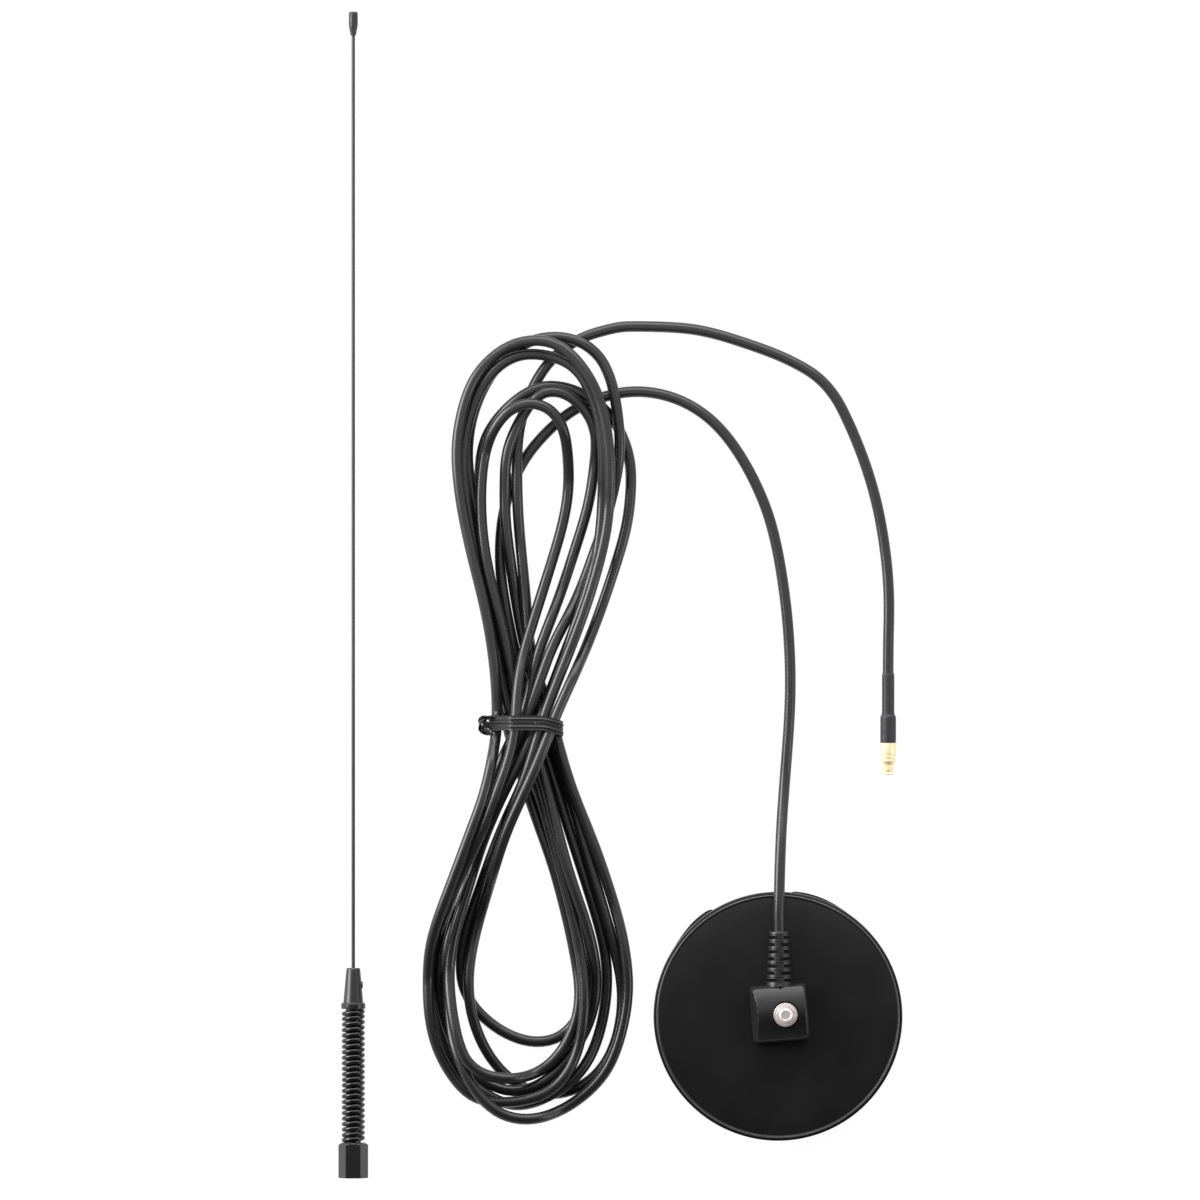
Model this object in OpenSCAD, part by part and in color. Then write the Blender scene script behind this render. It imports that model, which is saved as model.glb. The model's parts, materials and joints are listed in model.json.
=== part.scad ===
// Mobile whip antenna with a magnetic base, a sprung whip and a coiled feed cable.
// Lies flat on a bench: base standing on its pad, whip unscrewed and lying beside it along Y,
// feed cable coiled, crossed once and held with a twist tie.
// +Z is up. The origin is the middle of the base, on the bench. The cable leaves toward +Y.

/* [Magnet base] */
// Outside diameter of the pressed steel cup
base_d = 99.4; // [96:0.2:104]
// Height of the cup's top face above the bench
base_h = 10.5; // [9.5:0.5:13]
// Wall thickness of the pressed steel cup
cup_t = 1.2; // [0.8:0.1:1.6]
// Radius of the rolled edge of the cup
cup_round = 2.6; // [1.8:0.1:3.2]
// Thickness of the rubber pad under the magnet
pad_t = 0.8; // [0.5:0.1:1]
// Radius of the rubber pad
pad_r = 49.8; // [48:0.1:52]
// How far the pad has slipped toward the cable side
pad_slip = 1.2; // [0:0.1:1.5]
// Outer radius of the ferrite ring
magnet_r = 42; // [38:0.5:44]
// Inner radius of the ferrite ring
magnet_bore = 15; // [13:0.5:18]

/* [Stud] */
// Stud position off the middle of the base, along X
stud_x = 2.8; // [2:0.2:3.2]
// Stud position off the middle of the base, along Y
stud_y = 1; // [0.6:0.2:1.6]
// Radius of the stud (M6)
stud_r = 3; // [2.8:0.1:3]
// Height of the stud's end above the bench
stud_top = 31; // [28:0.5:33]
// Radius of the plated collar round the stud
collar_r = 4.6; // [4.2:0.1:4.8]

/* [Boot] */
// Width of the square boot at its foot
boot_w = 21.8; // [20:0.2:23]
// Turn of the boot about its middle, degrees
boot_turn = 4.5; // [0:0.5:6]
// Height of the boot's crown above the cup
boot_h = 13.5; // [12:0.5:15]
// Length of the ribbed strain relief outside the boot
relief_l = 21; // [18:0.5:22]
// Radius of the strain relief at the boot
relief_r1 = 5; // [4.6:0.1:5.2]
// Radius of the strain relief at its tip
relief_r2 = 3.9; // [3.6:0.1:4.2]
// Number of ribs
relief_ribs = 8; // [6:1:8]

/* [Cable] */
// Outside radius of the cable jacket
cable_r = 2.2; // [1.8:0.1:2.2]
// Spacing of the sections along the cable
cable_step = 7; // [6:0.5:9]
// Smallest bend radius of the cable where it climbs over another strand
cable_bend = 45; // [35:5:60]
// Steepest climb of the cable, rise over run
cable_climb = 0.45; // [0.4:0.05:0.6]

/* [Tie] */
// Width of one ribbon of the twist tie
ribbon_w = 2.8; // [2.4:0.1:3]
// Thickness of the ribbon
ribbon_t = 0.5; // [0.4:0.1:0.6]

/* [Whip] */
// Distance of the whip from the middle of the base, along X
whip_x = -169.7; // [-180:0.1:-169]
// Height of the whip's axis when it lies on a flat of its nut
whip_z = 5.2; // [5.2:0.1:6]
// Position of the whip's tip along Y
whip_tip = 401.5; // [350:0.5:420]
// Radius of the steel rod
rod_r = 0.72; // [0.6:0.01:0.74]
// Distance across the corners of the hexagonal coupling
hex_ac = 12; // [11.4:0.1:12]
// Length of the hexagonal coupling
hex_l = 14.1; // [13:0.1:15]
// Radius of the threaded socket that takes the stud
socket_r = 3.05; // [3.05:0.01:3.1]
// Depth of the threaded socket
socket_l = 9; // [8:0.5:9.5]

/* [Spring] */
// Outside radius of the spring
spring_r = 4.72; // [4.6:0.02:4.8]
// Radius of the spring's wire
wire_r = 0.76; // [0.7:0.01:0.78]
// Pitch of the coils
spring_pitch = 2.25; // [2.1:0.05:2.4]

/* [Plug] */
// Position of the plug along X
plug_x = 44.1; // [42:0.1:48]
// Height of the plug's axis above the bench
plug_z = 3.35; // [3.3:0.05:3.5]
// Radius of the plug's body
plug_r = 3.24; // [3:0.02:3.3]
// Radius of the slotted contact at its tip
tip_r = 1.9; // [1.8:0.02:1.9]

/* [Hidden] */
$fn = 64;
over = 1;                       // how far a cut runs past a face

// colours shared by several pieces
dark_grey = [0.2, 0.2, 0.2];
white = [0.9, 0.9, 0.88];
brass = [0.85, 0.72, 0.4];
gold = [0.96, 0.8, 0.42];

// base and stud
cup_r = base_d / 2;
cup_in = base_h - cup_t;        // underside of the cup's top
inside_z = pad_t + 0.05;        // foot of the magnet and the gasket
crown_z = base_h + boot_h;      // top of the boot
shank_r = stud_r - 0.3;         // the plain buried length, at a rolled thread's pitch radius
shank_hole_r = shank_r + 0.05;
nut_bore_r = shank_r + 0.03;
rivet_at = [-4.5, -4.8, 0];
rivet_hole_r = 1.05;

// pieces stacked on the stud under the cup's top, from the top down
stack_gap = 0.1;
washer_t = 1.1;
tag_t = 0.5;
lock_t = 0.8;
nut_h = 3.5;
washer_z = cup_in - 0.2 - washer_t;
tag_z = washer_z - stack_gap - tag_t;
lock_z = tag_z - stack_gap - lock_t;
nut_z = lock_z - stack_gap - nut_h;

// boot, strain relief and cable
boot_x = 1;                     // middle of the boot, and the axis of the strain relief
boot_y = 1;
relief_z = base_h + 5.5;        // height of the strain relief's axis
relief_y0 = 12.45;              // where the strain relief leaves the boot
relief_y1 = relief_y0 + relief_l;
tail_y0 = 9.6;                  // cable's end inside the boot
flex_y = relief_y1 + 0.5;       // flex point just outside the strain relief
flex_gap = 0.3;                 // half the gap where the cable is parted at a flex point
lead_hinge = [-47, 275.6];      // where the loose lead leaves the coil
lift_y = 150;                   // where the plug's end of the lead bends up
lift_gap = 0.85;                // half the gap there, for the larger angle
sleeve_bore_r = cable_r + 0.04;

// whip
coup_y1 = -50.6;                // upper face of the hexagonal coupling
coup_y0 = coup_y1 - hex_l;
spring_y0 = coup_y1 + 0.1;
spring_y1 = 2.8;
coil_r = spring_r - wire_r;     // radius of the coil's centre line
spigot_r = spring_r - 2 * wire_r - 0.08;
bend_y0 = -39.4;                // where the spring bends, at its foot and near its top
bend_y1 = -7.8;
core_r = 2.9;                   // radius of the sleeved braid inside the spring
fer_y0 = 2.9;                   // lower face of the ferrule's collar
fer_y1 = 19.3;                  // top of the ferrule
grub_y = 12.5;

// ---- shared shapes ----
// turns children's +Z to +Y at a place
module along_y(place) translate(place) rotate([-90, 0, 0]) children();
module on_relief(y) along_y([boot_x, y, relief_z]) children();
module on_plug(y = 0) along_y([plug_x, y, plug_z]) children();
module on_whip(y = 0) along_y([whip_x, y, whip_z]) children();
module at_stud(z = 0) translate([stud_x, stud_y, z]) children();
module ring(outer_r, inner_r, h) difference() {
    cylinder(r = outer_r, h = h);
    translate([0, 0, -over]) cylinder(r = inner_r, h = h + 2 * over);
}
// round steps on one axis, each [start, radius at start, radius at end, length]
module turned(steps)
    for (s = steps)
        translate([0, 0, s[0]]) cylinder(r1 = s[1], r2 = s[2], h = s[3]);
// cylinder with both edges bevelled: drop is the bevel across, rise along the axis
module bevelled(r, drop, rise, h)
    turned([
        [0, r - drop, r, rise],
        [rise, r, r, h - 2 * rise],
        [h - rise, r, r - drop, rise]
    ]);
// closed skin over rings of points; flip turns every face over
module skin(points, sides, flip = false) {
    last = len(points) - sides;
    faces = concat(
        [[for (k = [0:sides - 1]) k]],
        [[for (k = [sides - 1:-1:0]) last + k]],
        [for (i = [0:sides:last - 1]) for (k = [0:sides - 1])
            let (a = i + k, b = i + (k + 1) % sides)
            each [[a, a + sides, b], [b, a + sides, b + sides]]]);
    polyhedron(points, flip ? [for (f = faces) [for (k = [len(f) - 1:-1:0]) f[k]]] : faces);
}

// ---- magnet base ----
module base_cup() color([0.1, 0.1, 0.11]) {
    inner_r = cup_r - cup_t;
    top_r = cup_r - cup_round;  // where the rolled edge meets the flat top
    rim_z = pad_t + 0.3;
    arc_steps = 10;
    difference() {
        // profile [radius, z]: inside, rim, rolled edge, shallow V groove in the top
        rotate_extrude($fn = 96) polygon(concat(
            [[0, cup_in], [inner_r - cup_round * 0.4, cup_in],
                [inner_r, cup_in - cup_round * 0.5], [inner_r, rim_z], [cup_r, rim_z]],
            [for (i = [0:arc_steps]) let (angle = 90 * i / arc_steps)
                [top_r + cup_round * cos(angle), base_h - cup_round + cup_round * sin(angle)]],
            [[top_r - 1.2, base_h], [top_r - 1.5, base_h - 0.15], [top_r - 1.8, base_h],
                [0, base_h]]));
        at_stud(cup_in - over) cylinder(r = 4.5, h = cup_t + 2 * over);
        translate(rivet_at + [0, 0, cup_in - over])
            cylinder(r = rivet_hole_r, h = cup_t + 2 * over);
    }
}
module magnet_ring() color([0.2, 0.2, 0.21])
    translate([0, 0, inside_z]) ring(magnet_r, magnet_bore, cup_in - pad_t - 0.1);
module magnet_pad() color([0.06, 0.06, 0.06])
    translate([0, pad_slip, 0]) cylinder(r = pad_r, h = pad_t, $fn = 96);
module edge_gasket() color([0.08, 0.08, 0.08])
    translate([0, 0, inside_z]) ring(cup_r - cup_t - 0.1, magnet_r + 1.5, 2.6);

// ---- stud and its insulation ----
module stud() color([0.82, 0.8, 0.77]) at_stud() difference() {
    // lower bevel, plain shank, threaded end, upper bevel
    turned([
        [1.6, stud_r - 0.6, shank_r, 0.6],
        [2.2, shank_r, shank_r, crown_z],
        [crown_z + 0.2, stud_r, stud_r, stud_top - 1.2 - crown_z],
        [stud_top - 1, stud_r, stud_r - 0.9, 1]
    ]);
    translate([0, 0, stud_top - 1.2]) cylinder(r1 = 0.2, r2 = 1.5, h = 1.3);
}
module stud_collar() color([0.88, 0.85, 0.82]) at_stud(base_h + 0.75) difference() {
    union() {
        cylinder(r = 5.6, h = 1.4, $fn = 6);
        cylinder(r = collar_r, h = boot_h - 0.9);
    }
    translate([0, 0, -over]) cylinder(r = nut_bore_r, h = boot_h + 2 * over);
    translate([0, 0, boot_h - 1.5]) cylinder(r1 = stud_r, r2 = stud_r + 0.7, h = 0.7);
}
module insulator_bush() color(white) at_stud() difference() {
    // flange on the cup, spigot through its hole
    union() {
        translate([0, 0, base_h + 0.05]) cylinder(r = 5.6, h = 0.65);
        translate([0, 0, cup_in - 0.1]) cylinder(r = 4.4, h = cup_t + 0.3);
    }
    cylinder(r = shank_hole_r, h = base_h + 3);
}
module insulator_washer() color(white) at_stud(washer_z) ring(7.5, shank_hole_r, washer_t);
module stud_tag() color(brass) at_stud(tag_z) {
    tongue_w = 3.2;
    difference() {
        union() {
            cylinder(r = 5.2, h = tag_t);
            translate([-tongue_w / 2, 0, 0]) cube([tongue_w, 8.6, tag_t]);
        }
        translate([0, 0, -over]) cylinder(r = shank_hole_r, h = 3);
        translate([0, 7, -over]) cylinder(r = 0.7, h = 3);
    }
}
module lock_washer() color([0.7, 0.7, 0.7]) at_stud(lock_z) {
    split = 0.7;
    difference() {
        ring(5.4, shank_hole_r, lock_t);
        translate([0, -split / 2, -over]) rotate(20) cube([8, split, 3]);
    }
}
module stud_nut() color([0.8, 0.78, 0.75]) at_stud(nut_z) intersection() {
    difference() {
        cylinder(r = 5.75, h = nut_h, $fn = 6);
        translate([0, 0, -over]) cylinder(r = nut_bore_r, h = 6);
    }
    bevelled(r = 6.1, drop = 1, rise = 0.6, h = nut_h);
}

// ---- boot, strain relief and the cable's end ----
// a crowned square cushion; the crown leans toward the stud
module boot_shape() {
    foot_r = 2.2;
    shoulder_r = 2.6;
    shoulder_inset = 2.9;
    hull() {
        for (a = [0:3]) translate([boot_x, boot_y, 0]) rotate(boot_turn + 45 + 90 * a)
            translate([(boot_w / 2 - foot_r) * sqrt(2), 0, base_h + 0.05])
                cylinder(r = foot_r, h = 0.5, $fn = 32);
        for (a = [0:3]) translate([boot_x + 0.2, boot_y, 0]) rotate(boot_turn + 45 + 90 * a)
            translate([(boot_w / 2 - shoulder_inset) * sqrt(2), 0, crown_z - 5.6])
                sphere(r = shoulder_r, $fn = 32);
        at_stud(crown_z - 0.9) cylinder(r = collar_r + 1.8, h = 0.9, $fn = 32);
    }
}
module cable_boot() color([0.16, 0.16, 0.16]) difference() {
    boot_shape();
    at_stud(base_h - over) cylinder(r = collar_r + 0.4, h = boot_h + 3);
    // hollow in the underside
    translate([-6.8, -6.9, base_h - 0.5]) cube([16.6, 16.1, 3.6]);
    // cable's hole, and the seat of the strain relief
    on_relief(boot_y) cylinder(r = cable_r + 0.12, h = 20);
    on_relief(10.3) cylinder(r = 3.25, h = 10);
}
module strain_relief() color([0.15, 0.15, 0.15]) {
    rib_pitch = relief_l / (relief_ribs - 0.4);
    slot_w = rib_pitch * 0.4;
    difference() {
        union() {
            on_relief(relief_y0) cylinder(r1 = relief_r1, r2 = relief_r2, h = relief_l);
            on_relief(10.5) cylinder(r = 3.2, h = 3);
        }
        on_relief(9) cylinder(r = cable_r + 0.06, h = 30);
        // slots in pairs, by turns at the sides and above and below
        for (i = [0:relief_ribs - 2])
            translate([boot_x, relief_y0 + (i + 0.62) * rib_pitch, relief_z])
                for (side = [-1, 1])
                    if (i % 2 == 0)
                        translate([side * 4.2 - 2.1, 0, -6]) cube([4.2, slot_w, 12]);
                    else
                        translate([-6, 0, side * 5 - 2.2]) cube([12, slot_w, 4.4]);
    }
}
module centre_wire() color([0.8, 0.5, 0.3]) on_relief(5.35) cylinder(r = 0.45, h = 4.1);
// flat strip with its +Y end turned up
module ground_tag() color(brass) {
    tag_w = 3;
    sheet_t = 0.4;
    difference() {
        union() {
            translate([-6, -6, base_h + 0.05]) cube([tag_w, 13.5, sheet_t]);
            translate([-6, 7.1, base_h + 0.05]) cube([tag_w, sheet_t, 2.6]);
        }
        translate(rivet_at + [0, 0, base_h - over]) cylinder(r = rivet_hole_r, h = 3);
    }
}
// lower head, shank, domed head
module ground_rivet() color([0.75, 0.75, 0.75]) translate(rivet_at) turned([
    [cup_in - 0.75, 1.8, 1.8, 0.7],
    [cup_in - 0.1, 1, 1, cup_t + 0.7],
    [base_h + 0.5, 1.8, 1.2, 0.7]
]);

// ---- feed cable ----
// Lay of the coil: each strand as [how late it was laid, [way points x, y]]. A strand rests on
// every strand laid before it, so the pile's heights follow from this list.
STRANDS = [
    [0, [[0.1, 33.9], [0.5, 52.3], [1.3, 73.9], [2.9, 95.5], [4.7, 121.5], [4.9, 139.1],
        [3.5, 161.5], [-1.1, 190.3], [-6.5, 207.3], [-14.2, 222.7], [-23.3, 234.8],
        [-32.5, 242.5], [-44, 247.9], [-55.5, 249.4], [-66.3, 248.5], [-75.1, 245.5],
        [-85.1, 239.7], [-95.1, 230.3], [-102.3, 220.7], [-105.7, 213.5], [-108.3, 206.3],
        [-110.1, 198.3], [-111.1, 188.3], [-110.7, 178.3], [-109.3, 166.3], [-105.3, 146.3],
        [-99.9, 126.3], [-96.1, 114.7], [-88.7, 91.9], [-83.7, 75.1], [-78.3, 58.3],
        [-70.2, 30.3], [-68.3, 14.3], [-69.2, 3.9], [-71.3, -6.1]]],
    [9, [[-74.6, -14.5], [-78.7, -22.1], [-84.7, -27.7], [-92.7, -32.1]]],
    [10.5, [[-99.1, -34.3], [-104.7, -35.3], [-111.5, -34.1], [-119.1, -29.7],
        [-126.3, -22.9]]],
    [10.5, [[-132.3, -13.7], [-136.7, -2.5], [-139.1, 12.3]]],
    [15, [[-137.5, 30.3], [-132.3, 44.3], [-125.9, 58.3], [-117.9, 75.1], [-111.5, 91.9],
        [-106.1, 107.5], [-104.7, 120.7], [-103.5, 134.3], [-101.5, 145.1], [-95.1, 166.3],
        [-90.2, 182.3], [-86.7, 194.3], [-84.3, 206.3], [-83.7, 218.3], [-84.4, 226.3],
        [-87.5, 237.5]]],
    [7, [[-91.5, 241.9], [-99.5, 246.3], [-107.9, 241.9], [-113.3, 234.3], [-116.3, 226.3],
        [-118.7, 206.3], [-116.5, 182.3], [-111.9, 162.3], [-107.1, 142.3], [-103.1, 126.3],
        [-99.5, 114.7], [-92.7, 91.9], [-88.3, 75.1], [-83.8, 58.3], [-79.1, 44.3],
        [-74.9, 30.3], [-72.7, 14.3]]],
    [8, [[-73.5, 4.7], [-75.9, -3.3], [-80.3, -11.7], [-85.9, -18.9], [-90.9, -24.1],
        [-97.1, -27.9], [-103.1, -29.6], [-108.3, -29.2], [-115.1, -27.3]]],
    [10, [[-121.9, -23.3], [-127.9, -16.9], [-132.7, -6.5], [-134.7, 3.1], [-135.3, 12.3],
        [-133.7, 30.3], [-129.5, 44.3], [-125.1, 58.3], [-119.9, 75.1], [-114.3, 91.9],
        [-108.3, 107.5], [-101.3, 120.7], [-98.3, 134.3], [-95.7, 145.1], [-87.8, 166.3],
        [-82.5, 182.3], [-78.7, 194.3], [-75.4, 206.3], [-73.1, 226.3], [-74.5, 237.5]]],
    [6, [[-79.1, 246.3], [-88.3, 249.2], [-93.1, 248.7], [-97.9, 245.5], [-102.3, 239.1],
        [-106.3, 230.3], [-107.9, 226.3], [-109.1, 206.3], [-108.5, 194.3], [-106.9, 182.3],
        [-104.7, 166.3], [-100.7, 146.3], [-95.5, 126.3], [-91.9, 114.7], [-84.3, 91.9],
        [-79.1, 75.1], [-74.3, 58.3], [-66.3, 30.3], [-62.7, 14.3]]],
    [7, [[-62.3, 6.3], [-63.1, -2.1], [-65.5, -11.7], [-69.1, -18.5], [-74.7, -25.3],
        [-82.7, -29.7], [-91.9, -31.5], [-100.3, -28.9], [-107.5, -24.1], [-112.9, -18.9]]],
    [14, [[-117.9, -11.3], [-121.3, -2.5], [-123.1, 6.3], [-123.6, 14.3], [-121.5, 30.3],
        [-117.7, 44.3], [-113.5, 58.3], [-107.9, 75.1], [-100.3, 91.9], [-93.1, 108.7],
        [-88.5, 120.7], [-84.2, 130.3], [-77.6, 145.1], [-69.5, 166.3], [-64.3, 182.3]]],
    [2, [[-60.9, 194.3], [-59.1, 206.3], [-58.9, 214.3], [-59.9, 226.3], [-63.1, 232.3],
        [-69.1, 242.3], [-77.1, 249.1], [-87.1, 251.3], [-99.1, 249.5], [-106.3, 244.7],
        [-112.3, 238.3], [-116.3, 231.5], [-118.1, 226.3], [-119.2, 210.3], [-118.7, 198.3],
        [-117.5, 182.3], [-114.7, 162.3], [-111.7, 142.3], [-110.1, 126.3], [-107.1, 112.3],
        [-100.9, 91.9], [-95.1, 75.1], [-89.3, 58.3], [-82.3, 30.3], [-79.7, 14.3]]],
    [8.5, [[-79.9, 3.1], [-82.1, -6.1]]],
    [13, [[-85.9, -12.9], [-90.9, -18.5], [-97.9, -22.9], [-103.1, -24.3], [-111.9, -24.1],
        [-119.9, -21.7], [-124.3, -17.7], [-127.1, -10.5], [-129.1, -1.7]]],
    [12, [[-130.7, 6.3], [-131.3, 14.3], [-129.9, 30.3], [-125.9, 44.3], [-121.7, 58.3],
        [-115.9, 75.1], [-108.3, 91.9], [-99.9, 108.7], [-94.3, 120.7], [-90.7, 130.3],
        [-85.1, 145.1], [-77.3, 166.3], [-72.9, 182.3], [-70.9, 194.3], [-70.1, 206.3],
        [-69.9, 226.3], [-71.9, 239.9], [-75.1, 249.5]]],
    [4, [[-79.1, 256.7], [-83.1, 259.9], [-89.5, 263.1], [-97.1, 264.3], [-103.1, 263.9],
        [-109.1, 261.5], [-119.1, 250.3], [-123.1, 238.3], [-125.9, 226.3], [-124.7, 206.3],
        [-119.9, 182.3], [-116.7, 166.3], [-112.7, 146.3], [-108.7, 126.3], [-104.7, 114.7],
        [-96.3, 91.9], [-91.3, 75.1], [-86.7, 58.3], [-79.9, 30.3]]],
    [14, [[-77.5, 12.3], [-77.3, 5.9], [-77.8, -2.1], [-79.1, -10.4], [-81.5, -16.5],
        [-84.7, -22.5], [-88.8, -28.1]]],
    [11.5, [[-95.1, -31.7], [-103.1, -33.7], [-111.1, -34.1], [-117.5, -33.3],
        [-122.5, -31.3], [-126.3, -28.1], [-130.7, -22.5]]],
    [16, [[-134.1, -16.5], [-137, -10.4], [-138.7, -2.1], [-139.7, 12.3], [-138.3, 30.3],
        [-133.7, 44.3], [-128.5, 58.3], [-122.3, 75.1], [-116.5, 91.9], [-113.3, 108.7],
        [-112.2, 120.7]]],
    [5, [[-112.5, 130.3], [-113.9, 145.1], [-117.7, 166.3], [-121.8, 182.3], [-124.4, 194.3],
        [-126.7, 206.3], [-127.9, 218.3], [-128, 229.9], [-126.9, 239.1], [-123.9, 249.1],
        [-118.3, 258.3], [-109.9, 266.3], [-99.1, 269.7], [-92.3, 269.5], [-87.1, 267.5]]],
    [13, [[-82.3, 263.9], [-77.5, 257.5], [-74.3, 252.3], [-71.1, 246.7], [-69.5, 237.5],
        [-67.5, 226.3], [-67.5, 206.3], [-68.7, 194.3], [-71.3, 182.3], [-75.9, 166.3],
        [-83.7, 145.1], [-89.5, 130.3], [-93.1, 120.7], [-96.3, 110.3], [-98.7, 102.3],
        [-102.5, 91.9]]],
    [10.2, [[-110.1, 75.1], [-116.5, 58.3], [-121.3, 44.3], [-125.5, 30.3], [-126.9, 20.3],
        [-125.7, 12.3], [-122.7, 5.5]]],
    [6, [[-117.1, -0.5], [-110.3, -6.1], [-103.9, -8.9], [-97.1, -10.1]]],
    [1.5, [[-86.7, -7.9], [-79.9, 0.3], [-75.9, 12.3], [-79.1, 30.3], [-85.7, 58.3],
        [-90.1, 75.1], [-93.1, 86.3]]],
    [3, [[-94.9, 91.9], [-101.9, 114.7], [-105.5, 126.3], [-109.1, 146.3], [-113.3, 166.3],
        [-116.5, 182.3], [-121.3, 206.3], [-123.7, 218.3], [-123.9, 226.3], [-123.1, 234.3],
        [-121.1, 243.1], [-117.3, 251.1], [-112.1, 259.1], [-105.5, 266.3], [-96.7, 270.3],
        [-86.3, 271.5]]],
    [11, [[-77.1, 268.3], [-71.1, 262.3], [-67.5, 256.3], [-65.3, 246.3], [-63.9, 237.5],
        [-63.3, 226.3], [-63.9, 219.5], [-65.1, 213.5], [-66.7, 206.3], [-70.1, 194.3],
        [-74.7, 182.3], [-80.3, 166.3], [-84.7, 158.3], [-88.9, 150.3], [-91.2, 145.1],
        [-96.3, 130.3], [-100.1, 120.7], [-104.7, 108.7], [-110.3, 91.9], [-116.3, 75.1],
        [-123.1, 58.3], [-127.5, 44.3], [-131.5, 30.3], [-132.5, 12.3], [-131.2, 1.5],
        [-129.6, -10.4]]],
    [12.9, [[-126.7, -18.5], [-122.3, -26.7], [-116.6, -34.9], [-110.4, -38.1],
        [-103.1, -40.7], [-95, -40.2], [-86.5, -37.5], [-78.1, -32.4], [-71.5, -24.9],
        [-65.9, -15.9]]],
    [8, [[-62.3, -6.1], [-60.3, 3.9], [-60.2, 12.3], [-61.9, 30.3], [-69.9, 58.3],
        [-76.1, 75.1], [-82.7, 91.9]]],
    [6.5, [[-88.7, 112.3], [-91.9, 124.3], [-95.5, 134.3], [-98.9, 146.3], [-100.7, 166.3],
        [-102.3, 182.3]]],
    [1, [[-104.1, 206.3], [-104.1, 222.3], [-103.3, 234.3], [-100.9, 244.3], [-97, 252.7],
        [-92.1, 260.7], [-87.1, 265.5], [-81.1, 269.1], [-75.9, 271.9], [-71.1, 273.9],
        [-63.1, 275.4], [-51.6, 275.8]]]
];
// loose lead from the coil to the plug, way points [x, y]
LEAD = [lead_hinge, [-32.5, 274.3], [-9.5, 267.8], [5.7, 261.6], [15.7, 255.5],
    [22.6, 247.9], [28.7, 236.3], [35.6, 218.7], [40.2, 201.9], [43.3, 182.8],
    [44.3, 169.5], [44.4, 160], [44.2, lift_y]];

smooth_passes = 5;
smooth_in = 0.5;                // pull toward the neighbours in each pass
smooth_out = -0.53;             // push back that keeps the size of the bends
touch_gap = 2 * cable_r + 0.1;  // spacing of the axes of two touching strands
touch_reach = 12;               // strands farther off than this are passed over
touch_skip = 3;                 // as are this many sections either way along the cable
settle_passes = 14;
hold_reach = 5;                 // sections either way that help to hold one up

function xy(p) = [p[0], p[1]];
function mix(a, b, t) = a + (b - a) * t;
function clamp(t) = min(1, max(0, t));
function ease(t) = (1 - cos(180 * clamp(t))) / 2;
// the coil's way points as [x, y, lay]
function coil_way() = [for (strand = STRANDS) for (p = strand[1]) [p[0], p[1], strand[0]]];
// centripetal Catmull-Rom point between b and c
function spline(a, b, c, d, t) = let (
    ab = sqrt(norm(b - a)),
    bc = sqrt(norm(c - b)),
    cd = sqrt(norm(d - c)),
    slope_b = (c - b) + bc * ((b - a) / ab - (c - a) / (ab + bc)),
    slope_c = (c - b) + bc * ((d - c) / cd - (d - b) / (bc + cd)))
    (2 * pow(t, 3) - 3 * t * t + 1) * b + (pow(t, 3) - 2 * t * t + t) * slope_b
    + (3 * t * t - 2 * pow(t, 3)) * c + (pow(t, 3) - t * t) * slope_c;
// way points cut into sections about cable_step long, without the last; column 2 is carried along
function sections(way) = let (n = len(way)) [for (i = [0:n - 2])
    let (b = xy(way[i]), c = xy(way[i + 1]),
        a = i > 0 ? xy(way[i - 1]) : 2 * b - c,
        d = i < n - 2 ? xy(way[i + 2]) : 2 * c - b,
        count = max(1, round(norm(c - b) / cable_step)))
    for (j = [0:count - 1])
        let (t = j / count, p = spline(a, b, c, d, t))
        [p[0], p[1], way[t < 0.5 ? i : i + 1][2]]];
// moves each section a share of the way to the middle of its neighbours
function iron(path, share) = let (n = len(path)) [for (i = [0:n - 1])
    i < 2 || i > n - 3 ? path[i]
    : let (p = xy(path[i]) * (1 - share) + (xy(path[i - 1]) + xy(path[i + 1])) * share / 2)
        [p[0], p[1], path[i][2]]];
// irons out the wobble between way points
function smooth(path, passes) = passes == 0 ? path
    : smooth(iron(iron(path, smooth_in), smooth_out), passes - 1);
// height of the bare floor under the cable's axis: it comes down off the base, and lifts a
// little over the tie
function floor_z(p) = p[0] > -10 && p[1] < 100
    ? mix(relief_z, cable_r, ease((p[1] - 40) / 42))
    : p[0] < -70 ? cable_r + 0.75 * clamp((16 - abs(p[1] - 116.8)) / 8) : cable_r;
// for each section, the earlier-laid strands it touches: [index, share along, rise]
function contacts(path) = let (n = len(path)) [for (i = [0:n - 1]) let (p = path[i])
    [for (j = [0:n - 2])
        if (path[j][2] < p[2] && abs(path[j][0] - p[0]) < touch_reach
            && abs(path[j][1] - p[1]) < touch_reach && abs(i - j) > touch_skip)
        let (a = xy(path[j]), ab = xy(path[j + 1]) - a,
            t = clamp((xy(p) - a) * ab / (ab * ab)),
            apart = norm(a + ab * t - xy(p)))
        if (apart < touch_gap) [j, t, sqrt(touch_gap * touch_gap - apart * apart)]]];
// how far a strand may sag at a distance from where it is held up
function sag(run) = let (curved = cable_bend * cable_climb)
    run < curved ? run * run / (2 * cable_bend)
    : curved * curved / (2 * cable_bend) + cable_climb * (run - curved);
// distance of each section along the path
function distances(path, i = 0, last = 0, out = []) = i >= len(path) ? out
    : let (next = i == 0 ? 0 : last + norm(xy(path[i]) - xy(path[i - 1])))
        distances(path, i + 1, next, concat(out, [next]));
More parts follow.
